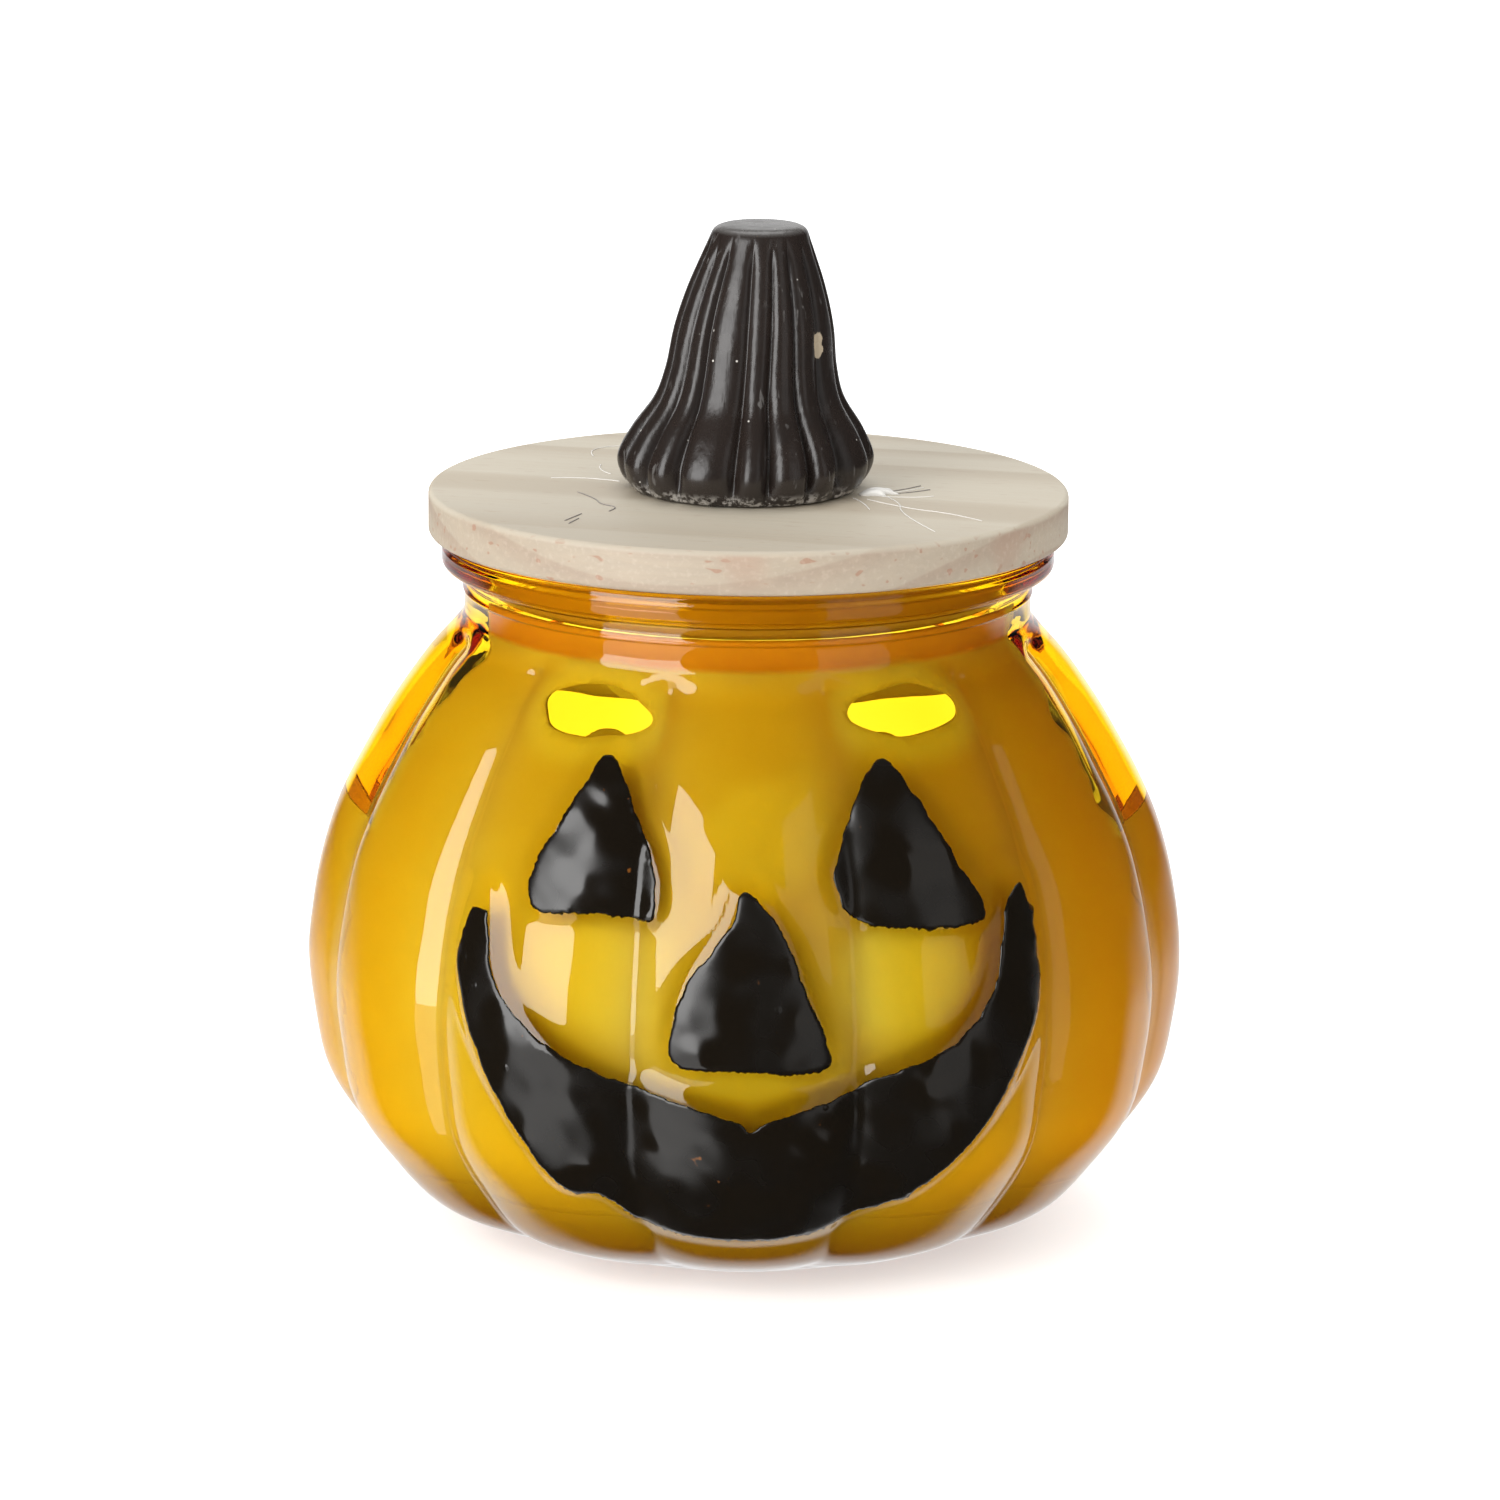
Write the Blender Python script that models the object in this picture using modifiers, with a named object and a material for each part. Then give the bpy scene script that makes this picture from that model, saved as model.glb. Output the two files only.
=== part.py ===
"""A pumpkin-shaped glass candle jar with a wooden lid, standing on its foot ring at the origin.

The jar's face looks along -Y. Twelve lobes run round the body, and one of them is centred on the
face. The lid lifts straight up out of the neck, and turns freely in it.
"""

import math

import bmesh
import bpy
from mathutils import Matrix

MM = 0.001

# Glass jar. A radius over the lobes is measured at their crests.
JAR_RADIUS = 60 * MM
SHOULDER_TOP = 84 * MM
LOBES = 12
LOBE_DEPTH = 0.055
LOBE_SHARPNESS = 2.2
WALL = 4.5 * MM
INNER_LOBE_SHARE = 0.4
GLASS_FLOOR = 8 * MM
FOOT_INNER_RADIUS = 22 * MM
FOOT_HOLLOW = 1.2 * MM
NECK_RADIUS = 38.6 * MM
BEAD_RADIUS = 41.7 * MM
BEAD_BOTTOM = 91.6 * MM
BEAD_ROUND = 1.2 * MM
MOUTH_RADIUS = 35 * MM
RIM_TOP = 95.9 * MM

# Enamelled face, raised on the glass
RELIEF = 1.5 * MM

# Candle
WAX_TOP = 57 * MM
WICK_RADIUS = 1.1 * MM
WICK_TOP = 63.5 * MM
STICKER_RADIUS = 9 * MM
STICKER_THICKNESS = 1 * MM
SUSTAINER_RADIUS = 10 * MM
SUSTAINER_SHEET = 0.5 * MM
COLLAR_HEIGHT = 4.5 * MM

# Lid and its seal
LID_RADIUS = 43.5 * MM
LID_THICKNESS = 6 * MM
LID_ROUND = 0.8 * MM
PLUG_RADIUS = 33.2 * MM
PLUG_DEPTH = 8.2 * MM
GROOVE_RADIUS = 31.6 * MM
GROOVE_HEIGHT = 3.2 * MM
GROOVE_BOTTOM = 90.6 * MM
SEAL_RADIUS = 34.6 * MM

# Stem knob
STEM_RADIUS = 17.4 * MM
STEM_HEIGHT = 35.7 * MM
FLUTES = 16
FLUTE_DEPTH = 0.09
STEM_LEAN = 1.4 * MM
STEM_OFFSET = -0.1 * MM
GLUE_RADIUS = 12 * MM
GLUE_THICKNESS = 0.8 * MM

# Clearance between neighbours that touch on the real object
GAP = 0.3 * MM
LID_BOTTOM = RIM_TOP + GAP
LID_TOP = LID_BOTTOM + LID_THICKNESS

JAR_STEPS = 72
ROUND_STEPS = 48
STEM_STEPS = 64
WICK_STEPS = 12

# Outlines, as (share of the radius, share of the height), from the top down
BODY_OUTLINE = [
    (0.658, 1.0), (0.738, 0.935), (0.847, 0.815), (0.95, 0.66), (1.0, 0.476), (0.988, 0.34),
    (0.952, 0.24), (0.86, 0.146), (0.765, 0.076), (0.65, 0.037), (0.56, 0.0165), (0.49, 0.0),
]
STEM_OUTLINE = [
    (0.33, 1.0), (0.405, 0.935), (0.534, 0.77), (0.62, 0.616), (0.667, 0.462),
    (0.74, 0.345), (0.9, 0.227), (1.0, 0.12), (0.965, 0.045), (0.88, 0.0),
]

# The face seen from the front, in millimetres: x to the right, z above the table
LEFT_EYE = [
    (-18.4, 74.8), (-20, 72.6), (-23.2, 67.6), (-27, 61.4), (-27.7, 57.4), (-26.2, 56),
    (-19, 56.2), (-12.3, 55.7), (-11.6, 61.2), (-13.8, 68), (-16.5, 74.2),
]
RIGHT_EYE = [
    (16.6, 74.6), (14.4, 71), (12, 64.2), (11.4, 60.6), (14, 55.8), (21.3, 54.7), (30.6, 54.8),
    (28.6, 60), (24.4, 66.5), (20.6, 71.8), (18.4, 74.4),
]
NOSE = [
    (0.3, 60), (-2.3, 54.9), (-7.2, 48.4), (-9.4, 41.5), (-8.4, 37.5), (0, 37.3), (10.2, 36.9),
    (10.2, 42), (8, 47), (5.4, 53.8),
]
MOUTH = [
    (-34.4, 56.7), (-37, 46.5), (-33.3, 33.7), (-26.7, 22.7), (-22.8, 18.5), (-18, 17.6),
    (-12.4, 13.2), (-2.8, 11.5), (8.8, 12.2), (15.9, 15.9), (22.5, 18.8), (31, 26.9),
    (36.8, 37.9), (38.2, 45.8), (36.2, 57), (33.8, 56), (32.2, 46), (27.4, 39.6), (19, 35.7),
    (10.8, 32.4), (3.2, 30.1), (0.8, 28.6), (-0.8, 30.1), (-8.1, 32.3), (-18.5, 35.3),
    (-27, 40), (-32.2, 46.5), (-33.2, 55.8),
]


def clear_scene():
    for obj in list(bpy.data.objects):
        bpy.data.objects.remove(obj, do_unlink=True)


def new_collection(name):
    collection = bpy.data.collections.new(name)
    bpy.context.scene.collection.children.link(collection)
    return collection


def material(name, colour, roughness, metallic=0.0):
    made = bpy.data.materials.new(name)
    made.use_nodes = True
    shader = made.node_tree.nodes["Principled BSDF"]
    shader.inputs["Base Color"].default_value = (*colour, 1)
    shader.inputs["Roughness"].default_value = roughness
    shader.inputs["Metallic"].default_value = metallic
    made.diffuse_color = (*colour, 1)
    return made


def place(name, mesh, collection, finish=None):
    obj = bpy.data.objects.new(name, mesh)
    collection.objects.link(obj)
    if finish:
        obj.data.materials.append(finish)
    if collection is CUTTERS:
        obj.hide_render = True
        obj.display_type = "WIRE"
    return obj


def curve_through(points, steps):
    """Points on a smooth curve that passes through each of the points given."""
    ends = [points[0], *points, points[-1]]
    smooth = []
    for before, start, end, after in zip(ends, ends[1:], ends[2:], ends[3:]):
        for step in range(steps):
            t = step / steps
            smooth.append(tuple(
                0.5 * (2 * b + (c - a) * t + (2 * a - 5 * b + 4 * c - d) * t ** 2
                       + (3 * b - a - 3 * c + d) * t ** 3)
                for a, b, c, d in zip(before, start, end, after)
            ))
    return [*smooth, tuple(points[-1])]


def arc(centre_r, centre_z, radius, start, end, steps=3):
    """Points on an arc of a turned outline, with its angles in degrees."""
    turns = [math.radians(start + (end - start) * i / steps) for i in range(steps + 1)]
    return [(centre_r + radius * math.cos(t), centre_z + radius * math.sin(t)) for t in turns]


def moved_out(outline, distance):
    """The outline moved out along its normals. It runs down the outer side of its shape."""
    moved = []
    for i, (radius, height) in enumerate(outline):
        r0, z0 = outline[max(i - 1, 0)]
        r1, z1 = outline[min(i + 1, len(outline) - 1)]
        length = math.hypot(r1 - r0, z1 - z0)
        moved.append((radius - distance * (z1 - z0) / length, height + distance * (r1 - r0) / length))
    return moved


def turned(name, outline, steps, collection, finish=None, ring=False):
    """A shape turned about Z from (radius, height) points that run down its outer side."""
    shape = bmesh.new()
    points = [shape.verts.new((radius, 0, height)) for radius, height in outline]
    for start, end in zip(points, points[1:]):
        shape.edges.new((start, end))
    if ring:
        shape.edges.new((points[-1], points[0]))
    mesh = bpy.data.meshes.new(name)
    shape.to_mesh(mesh)
    shape.free()
    obj = place(name, mesh, collection, finish)
    screw = obj.modifiers.new("Screw", "SCREW")
    screw.axis = "Z"
    screw.steps = screw.render_steps = steps
    screw.use_smooth_shade = True
    screw.use_merge_vertices = True
    screw.merge_threshold = 0.00001
    return obj


def made_real(obj):
    """Swaps the object for a plain mesh of what its modifiers or its curve make."""
    bpy.context.view_layer.update()
    evaluated = obj.evaluated_get(bpy.context.evaluated_depsgraph_get())
    mesh = bpy.data.meshes.new_from_object(evaluated)
    welded = bmesh.new()
    welded.from_mesh(mesh)
    bmesh.ops.remove_doubles(welded, verts=welded.verts, dist=0.000001)
    welded.to_mesh(mesh)
    welded.free()
    name, matrix, collection = obj.name, obj.matrix_world.copy(), obj.users_collection[0]
    bpy.data.objects.remove(obj, do_unlink=True)
    real = place(name, mesh, collection)
    real.matrix_world = matrix
    return real


def reshape(obj, move):
    """Moves each point: move takes and gives its radius, angle and height."""
    real = made_real(obj)
    for vertex in real.data.vertices:
        x, y, z = vertex.co
        radius, angle, height = move(math.hypot(x, y), math.atan2(x, -y), z)
        vertex.co = (radius * math.sin(angle), -radius * math.cos(angle), height)
    return real


def smooth(obj, sharpest=35):
    obj.data.shade_smooth()
    obj.data.set_sharp_from_angle(angle=math.radians(sharpest))


def boolean(obj, operation, other):
    cut = obj.modifiers.new(other.name, "BOOLEAN")
    cut.operation = operation
    cut.object = other


def ease(value, low, high):
    t = min(max((value - low) / (high - low), 0), 1)
    return t * t * (3 - 2 * t)


def valley(angle, count, sharpness):
    """0 on a crest and 1 in the valley between two crests."""
    turn = angle * count / (2 * math.pi)
    return (2 * abs(turn - round(turn))) ** sharpness


def lobed(share=1.0):
    """A move that presses the valleys between the lobes into the body."""
    def move(radius, angle, height):
        fade = ease(height, -1 * MM, 3 * MM) * (1 - ease(height, SHOULDER_TOP - 5 * MM, SHOULDER_TOP + 1 * MM))
        out = ease(radius, 0.4 * MOUTH_RADIUS, MOUTH_RADIUS)
        depth = share * LOBE_DEPTH * fade * out * valley(angle, LOBES, LOBE_SHARPNESS)
        return radius * (1 - depth), angle, height
    return move


def body_outline(steps=2):
    points = [(r * JAR_RADIUS, z * SHOULDER_TOP) for r, z in BODY_OUTLINE]
    return curve_through(points, steps)


def cavity_outline(gap=0.0):
    """The inside wall, from the mouth down to the glass floor."""
    wall = [p for p in moved_out(body_outline(1), -WALL - gap) if p[1] > GLASS_FLOOR + 4 * MM]
    wall = [p for p in wall if p[0] > MOUTH_RADIUS and p[1] < SHOULDER_TOP - 4 * MM]
    low_radius = wall[-1][0]
    floor = GLASS_FLOOR + gap
    return [*wall, (low_radius - 5.5 * MM, floor + 1.4 * MM), (low_radius - 11 * MM, floor)]


def make_glass_jar():
    neck = [
        (0, RIM_TOP),
        *arc(BEAD_RADIUS - BEAD_ROUND, RIM_TOP - BEAD_ROUND, BEAD_ROUND, 90, 0),
        *arc(BEAD_RADIUS - BEAD_ROUND, BEAD_BOTTOM + BEAD_ROUND, BEAD_ROUND, 0, -90, 2),
        (NECK_RADIUS, BEAD_BOTTOM - 0.4 * MM),
        (NECK_RADIUS, SHOULDER_TOP + 1.2 * MM),
    ]
    foot = [(FOOT_INNER_RADIUS, 0), (FOOT_INNER_RADIUS - 2 * MM, FOOT_HOLLOW), (0, FOOT_HOLLOW)]
    jar = turned("glass_jar", neck + body_outline() + foot, JAR_STEPS, PARTS)
    jar = reshape(jar, lobed())
    jar.data.materials.append(material("amber_glass", (0.75, 0.43, 0.02), 0.05))
    mouth = [
        (0, RIM_TOP + 2 * MM),
        (MOUTH_RADIUS + 3 * MM, RIM_TOP + 2 * MM),
        *arc(MOUTH_RADIUS + 1 * MM, RIM_TOP - 1 * MM, 1 * MM, 90, 180, 2),
        (MOUTH_RADIUS, SHOULDER_TOP + 1 * MM),
    ]
    cavity = turned("jar_cavity", mouth + cavity_outline() + [(0, GLASS_FLOOR)], JAR_STEPS, CUTTERS)
    boolean(jar, "DIFFERENCE", reshape(cavity, lobed(INNER_LOBE_SHARE)))
    smooth(jar)


def face_blank(name, distance):
    """A solid whose skin lies at this distance outside the jar's body."""
    outline = moved_out(body_outline(), distance)
    solid = [(0, outline[0][1]), *outline, (0, outline[-1][1])]
    return reshape(turned(name, solid, JAR_STEPS, CUTTERS), lobed())


def enamel_pad(name, outline, skin, core, finish):
    """The slice of the raised layer that lies inside the outline, seen from the front."""
    flat = bpy.data.curves.new(name, "CURVE")
    flat.dimensions = "2D"
    flat.fill_mode = "BOTH"
    flat.extrude = 18 * MM
    line = flat.splines.new("POLY")
    line.points.add(len(outline) - 1)
    for point, (x, z) in zip(line.points, outline):
        point.co = (x * MM, z * MM, 0, 1)
    line.use_cyclic_u = True
    pad = place(name, flat, PARTS)
    pad.matrix_world = Matrix.Translation((0, -53 * MM, 0)) @ Matrix.Rotation(math.pi / 2, 4, "X")
    pad = made_real(pad)
    pad.data.materials.append(finish)
    boolean(pad, "INTERSECT", skin)
    boolean(pad, "DIFFERENCE", core)
    smooth(pad)


def make_face():
    enamel = material("black_enamel", (0.012, 0.01, 0.008), 0.15)
    skin = face_blank("face_skin", RELIEF)
    core = face_blank("face_core", GAP)
    for name, outline in [
        ("left_eye_paint", LEFT_EYE),
        ("right_eye_paint", RIGHT_EYE),
        ("nose_paint", NOSE),
        ("mouth_paint", MOUTH),
    ]:
        enamel_pad(name, outline, skin, core, enamel)


def make_candle():
    sticker_bottom = GLASS_FLOOR + GAP
    sheet_bottom = sticker_bottom + STICKER_THICKNESS + GAP
    collar_top = sheet_bottom + COLLAR_HEIGHT
    bore = WICK_RADIUS + GAP
    collar = bore + SUSTAINER_SHEET

    sides = [p for p in cavity_outline(GAP) if p[1] < WAX_TOP - 1 * MM]
    upper, lower = [p for p in cavity_outline(GAP) if p[1] >= WAX_TOP - 1 * MM][-1], sides[0]
    share = (WAX_TOP - lower[1]) / (upper[1] - lower[1])
    edge = lower[0] + share * (upper[0] - lower[0])
    wax = turned("candle_wax", [
        (bore, WAX_TOP), (0.5 * MOUTH_RADIUS, WAX_TOP), (edge, WAX_TOP), *sides,
        (SUSTAINER_RADIUS + GAP, GLASS_FLOOR + GAP),
        (SUSTAINER_RADIUS + GAP, sheet_bottom + SUSTAINER_SHEET + GAP),
        (collar + GAP, sheet_bottom + SUSTAINER_SHEET + GAP),
        (collar + GAP, collar_top + GAP),
        (bore, collar_top + GAP),
    ], JAR_STEPS, PARTS, ring=True)
    wax = reshape(wax, lobed(INNER_LOBE_SHARE))
    wax.data.materials.append(material("wax", (0.9, 0.84, 0.68), 0.45))
    smooth(wax)

    turned("wick_sticker", [
        (0, sticker_bottom + STICKER_THICKNESS),
        (STICKER_RADIUS, sticker_bottom + STICKER_THICKNESS),
        (STICKER_RADIUS, sticker_bottom),
        (0, sticker_bottom),
    ], ROUND_STEPS, PARTS, material("foam_sticker", (0.8, 0.8, 0.78), 0.8))
    turned("wick_sustainer", [
        (bore, collar_top), (collar, collar_top),
        (collar, sheet_bottom + SUSTAINER_SHEET),
        (SUSTAINER_RADIUS, sheet_bottom + SUSTAINER_SHEET),
        (SUSTAINER_RADIUS, sheet_bottom), (bore, sheet_bottom),
    ], ROUND_STEPS, PARTS, material("tin_plate", (0.62, 0.62, 0.63), 0.35, 1.0), ring=True)
    turned("wick", [
        (0, WICK_TOP), (0.7 * WICK_RADIUS, WICK_TOP), (WICK_RADIUS, WICK_TOP - 0.5 * MM),
        (WICK_RADIUS, sheet_bottom), (0, sheet_bottom),
    ], WICK_STEPS, PARTS, material("cotton_braid", (0.82, 0.78, 0.68), 0.9))


def make_lid():
    plug_bottom = LID_BOTTOM - PLUG_DEPTH
    groove_top = GROOVE_BOTTOM + GROOVE_HEIGHT
    turned("wood_lid", [
        (0, LID_TOP),
        *arc(LID_RADIUS - LID_ROUND, LID_TOP - LID_ROUND, LID_ROUND, 90, 0),
        *arc(LID_RADIUS - LID_ROUND, LID_BOTTOM + LID_ROUND, LID_ROUND, 0, -90),
        (PLUG_RADIUS, LID_BOTTOM), (PLUG_RADIUS, groove_top), (GROOVE_RADIUS, groove_top),
        (GROOVE_RADIUS, GROOVE_BOTTOM), (PLUG_RADIUS, GROOVE_BOTTOM),
        (PLUG_RADIUS, plug_bottom + 1 * MM), (PLUG_RADIUS - 1 * MM, plug_bottom), (0, plug_bottom),
    ], ROUND_STEPS, PARTS, material("pine", (0.56, 0.45, 0.31), 0.6))
    seal_top, seal_bottom = groove_top - GAP, GROOVE_BOTTOM + GAP
    seal_inside = GROOVE_RADIUS + GAP
    turned("seal_ring", [
        (seal_inside, seal_top), (PLUG_RADIUS, seal_top),
        (SEAL_RADIUS, (seal_top + seal_bottom) / 2 + 0.5 * MM),
        (SEAL_RADIUS, (seal_top + seal_bottom) / 2 - 0.5 * MM),
        (PLUG_RADIUS, seal_bottom), (seal_inside, seal_bottom),
    ], ROUND_STEPS, PARTS, material("silicone", (0.8, 0.8, 0.76), 0.4), ring=True)


def make_stem():
    bottom = LID_TOP + GAP
    glue_top = bottom + GLUE_THICKNESS
    outline = curve_through([(r * STEM_RADIUS, bottom + z * STEM_HEIGHT) for r, z in STEM_OUTLINE], 2)
    stem = turned("stem_knob", [
        (0, bottom + STEM_HEIGHT), *outline,
        (GLUE_RADIUS + GAP, bottom), (GLUE_RADIUS + GAP, glue_top + GAP), (0, glue_top + GAP),
    ], STEM_STEPS, PARTS)

    def fluted(radius, angle, height):
        out = ease(radius, GLUE_RADIUS + GAP, GLUE_RADIUS + 2 * MM) if height < glue_top + MM else 1
        rise = (height - bottom) / STEM_HEIGHT
        depth = FLUTE_DEPTH * out * (1 - ease(rise, 0.9, 1.0))
        return radius * (1 - depth * valley(angle, FLUTES, 1.5)), angle, height

    stem = reshape(stem, fluted)
    for vertex in stem.data.vertices:
        rise = (vertex.co.z - bottom) / STEM_HEIGHT
        vertex.co.x += STEM_OFFSET + STEM_LEAN * rise ** 2
    stem.data.materials.append(material("stem_brown", (0.035, 0.028, 0.024), 0.35))
    smooth(stem)

    glue = turned("glue_pad", [
        (0, glue_top), (GLUE_RADIUS - GAP, glue_top), (GLUE_RADIUS - GAP, bottom), (0, bottom),
    ], ROUND_STEPS, PARTS, material("hot_melt", (0.85, 0.83, 0.78), 0.3))
    glue.location.x = STEM_OFFSET


clear_scene()
PARTS = new_collection("pumpkin_candle_jar")
CUTTERS = new_collection("cutters")
make_glass_jar()
make_face()
make_candle()
make_lid()
make_stem()
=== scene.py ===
# %% [markdown]
# # A pumpkin candle jar
# The object is a pressed-glass candle jar with twelve lobes, a raised face painted in black enamel,
# a wax fill with a wick, a pine lid and a moulded stem as its knob.
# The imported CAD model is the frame: the main sizes below are read from its boxes, so each finer
# piece lands where its solid is.

# %% Load the frame
import math

import bmesh
import bpy
import numpy as np
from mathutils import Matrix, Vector
from mathutils.geometry import delaunay_2d_cdt


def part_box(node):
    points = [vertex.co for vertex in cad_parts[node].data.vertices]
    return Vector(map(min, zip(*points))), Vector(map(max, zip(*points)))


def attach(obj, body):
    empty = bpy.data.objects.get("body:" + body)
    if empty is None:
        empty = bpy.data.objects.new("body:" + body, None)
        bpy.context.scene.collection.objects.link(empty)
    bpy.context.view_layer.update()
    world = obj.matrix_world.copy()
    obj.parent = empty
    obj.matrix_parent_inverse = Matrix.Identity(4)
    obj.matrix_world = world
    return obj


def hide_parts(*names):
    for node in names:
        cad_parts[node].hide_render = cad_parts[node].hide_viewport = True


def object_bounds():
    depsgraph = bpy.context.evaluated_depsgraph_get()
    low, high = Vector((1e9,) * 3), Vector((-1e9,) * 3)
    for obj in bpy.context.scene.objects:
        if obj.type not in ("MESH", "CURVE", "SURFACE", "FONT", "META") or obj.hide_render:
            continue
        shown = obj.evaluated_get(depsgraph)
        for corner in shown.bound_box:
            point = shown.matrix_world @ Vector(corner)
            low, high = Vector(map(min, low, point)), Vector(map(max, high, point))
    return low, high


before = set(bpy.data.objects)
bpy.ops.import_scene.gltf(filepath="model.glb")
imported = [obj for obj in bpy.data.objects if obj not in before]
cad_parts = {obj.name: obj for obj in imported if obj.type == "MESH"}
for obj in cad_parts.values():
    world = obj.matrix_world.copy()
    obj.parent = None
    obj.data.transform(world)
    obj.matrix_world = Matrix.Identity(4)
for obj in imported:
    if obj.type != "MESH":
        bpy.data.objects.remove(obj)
cad_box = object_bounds()
MM = 0.001
print("CAD box in mm:", [[round(c / MM, 1) for c in corner] for corner in cad_box])

# %% [markdown]
# ## Camera
# The jar is seen from a little above, from far off and with a long lens. That keeps the lid's ellipse
# flat and the sides upright, with a trace of perspective, which an orthographic camera would lose.
# The camera is aimed by its own place and pitch, and a very small roll.

# %% Camera
CAMERA_DISTANCE = 0.9
CAMERA_HEIGHT = 0.2802
CAMERA_PITCH = 13.42
CAMERA_ROLL = 0.5
CAMERA_SHIFT = 0.0005
LENS = 161.9
SENSOR = 36

camera = bpy.data.objects.new("camera", bpy.data.cameras.new("camera"))
camera.data.sensor_width = SENSOR
camera.data.lens = LENS
camera.location = (CAMERA_SHIFT, -CAMERA_DISTANCE, CAMERA_HEIGHT)
camera.rotation_euler = (math.radians(90 - CAMERA_PITCH), 0, 0)
camera.rotation_euler.rotate_axis("Z", math.radians(CAMERA_ROLL))
bpy.context.scene.collection.objects.link(camera)
bpy.context.scene.camera = camera
print("camera looks down by", CAMERA_PITCH, "degrees")

# %% [markdown]
# ## Node trees from code
# The world, the materials and Geometry Nodes are all node trees. They can be drawn in the editor, or
# built in code, which takes longer once but is easy to repeat and to read back. Each helper here adds
# one kind of node, so a finish further down reads like a recipe.

# %% Helpers for node trees
def add(tree, kind, inputs=None, **settings):
    """Adds a node. Its inputs are values or the output sockets of other nodes."""
    node = tree.nodes.new(kind)
    for name, value in settings.items():
        setattr(node, name, value)
    for key, value in (inputs or {}).items():
        if isinstance(value, bpy.types.NodeSocket):
            tree.links.new(value, node.inputs[key])
        else:
            node.inputs[key].default_value = value
    return node


def maths(tree, operation, *values):
    """One Math node, and its result."""
    return add(tree, "ShaderNodeMath", dict(enumerate(values)), operation=operation).outputs[0]


def times(tree, first, second):
    """The product of two values, of which there are many below."""
    return maths(tree, "MULTIPLY", first, second)


def ramp(tree, value, low, high, out_low=0.0, out_high=1.0):
    """Maps value from low..high to out_low..out_high, with soft ends."""
    return add(tree, "ShaderNodeMapRange", {
        "Value": value, "From Min": low, "From Max": high, "To Min": out_low, "To Max": out_high,
    }, interpolation_type="SMOOTHSTEP").outputs[0]


print("node helpers ready")

# %% [markdown]
# ## Light
# Glass shows its surroundings more than itself, so the studio is the first half of its look.
# White behind the jar lights it through, two upright softboxes put long soft streaks down the
# lobes, and the dark in front keeps the black enamel black.
# The world tells the rays apart. The camera itself sees plain white in every direction. Mirrored rays
# see a narrow white behind and near-black elsewhere, and all other rays see a wider one in a lit room.

# %% World
DARK = 0.03
AMBIENT = 1.15
WHITE = 1.0

world = bpy.data.worlds.new("studio")
bpy.context.scene.world = world
world.use_nodes = True
tree = world.node_tree
tree.nodes.clear()
way = add(tree, "ShaderNodeSeparateXYZ", {
    0: add(tree, "ShaderNodeTexCoord").outputs["Generated"],
}).outputs
ray = add(tree, "ShaderNodeLightPath").outputs
wide = ramp(tree, way["Y"], 0.45, 0.8)
narrow = ramp(tree, way["Y"], 0.84, 0.95)
behind = add(tree, "ShaderNodeMix", {0: ray["Is Glossy Ray"], 2: wide, 3: narrow}).outputs[0]
table = times(tree, ramp(tree, way["Z"], -0.05, -0.3), ramp(tree, way["Y"], 0.35, 0.6))
lit = maths(tree, "MAXIMUM", maths(tree, "MAXIMUM", behind, table), ray["Is Camera Ray"])
dark = add(tree, "ShaderNodeMix", {0: ray["Is Glossy Ray"], 2: AMBIENT, 3: DARK}).outputs[0]
glow = add(tree, "ShaderNodeMix", {0: lit, 2: dark, 3: WHITE}).outputs[0]
background = add(tree, "ShaderNodeBackground", {"Color": (1, 1, 1, 1), "Strength": glow})
add(tree, "ShaderNodeOutputWorld", {"Surface": background.outputs[0]})
print("world nodes:", len(tree.nodes))

# %% [markdown]
# ## Softboxes
# A softbox is a lamp behind white cloth, and its mirror image is what draws the long pale streaks on
# glass. An area light does the same. Each is placed by the patch of surroundings that it fills, in
# degrees, because that is what decides where its streak falls. The one under the key is its dimmer
# image in the table top.

# %% Softboxes
JAR_MIDDLE = 0.06


def softbox(name, azimuths, elevations, distance, radiance):
    """An area light that fills a patch of the jar's surroundings, in degrees.

    Azimuth 0 is in front and grows to the right, and elevation 0 is level."""
    across = math.radians(azimuths[1] - azimuths[0]) / 2
    up = math.radians(elevations[1] - elevations[0]) / 2
    turn = math.radians(sum(azimuths) / 2)
    rise = math.radians(sum(elevations) / 2)
    light = bpy.data.lights.new(name, "AREA")
    light.shape = "RECTANGLE"
    light.size = 2 * distance * math.tan(across)
    light.size_y = 2 * distance * math.tan(up)
    light.energy = radiance * math.pi * light.size * light.size_y
    box = bpy.data.objects.new(name, light)
    offset = Vector((
        math.sin(turn) * math.cos(rise), -math.cos(turn) * math.cos(rise), math.sin(rise),
    ))
    box.location = Vector((0, 0, JAR_MIDDLE)) + distance * offset
    box.rotation_euler = offset.to_track_quat("Z", "Y").to_euler()
    box.visible_camera = False
    bpy.context.scene.collection.objects.link(box)
    print(name, "is", round(light.size, 2), "by", round(light.size_y, 2), "m")


softbox("key_softbox", (-60, -25), (-8, 40), distance=1.5, radiance=6.2)
softbox("key_in_table", (-60, -25), (-50, -8), distance=1.5, radiance=1.6)
softbox("fill_softbox", (29, 59), (-30, 40), distance=1.5, radiance=0.5)
softbox("top_softbox", (160, 200), (50, 85), distance=1.3, radiance=2.4)

# %% [markdown]
# ## Render settings
# A ray that crosses the jar meets two walls, the wax and sometimes a film of enamel, and each wall
# has two sides. It needs many bounces, or it stops inside the glass and leaves a black spot. The
# standard view keeps the white of the page white.

# %% Render settings
scene = bpy.context.scene
scene.view_settings.view_transform = "Standard"
scene.cycles.max_bounces = 24
scene.cycles.transmission_bounces = 20
scene.cycles.glossy_bounces = 8
print("light may bounce", scene.cycles.max_bounces, "times")

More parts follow.
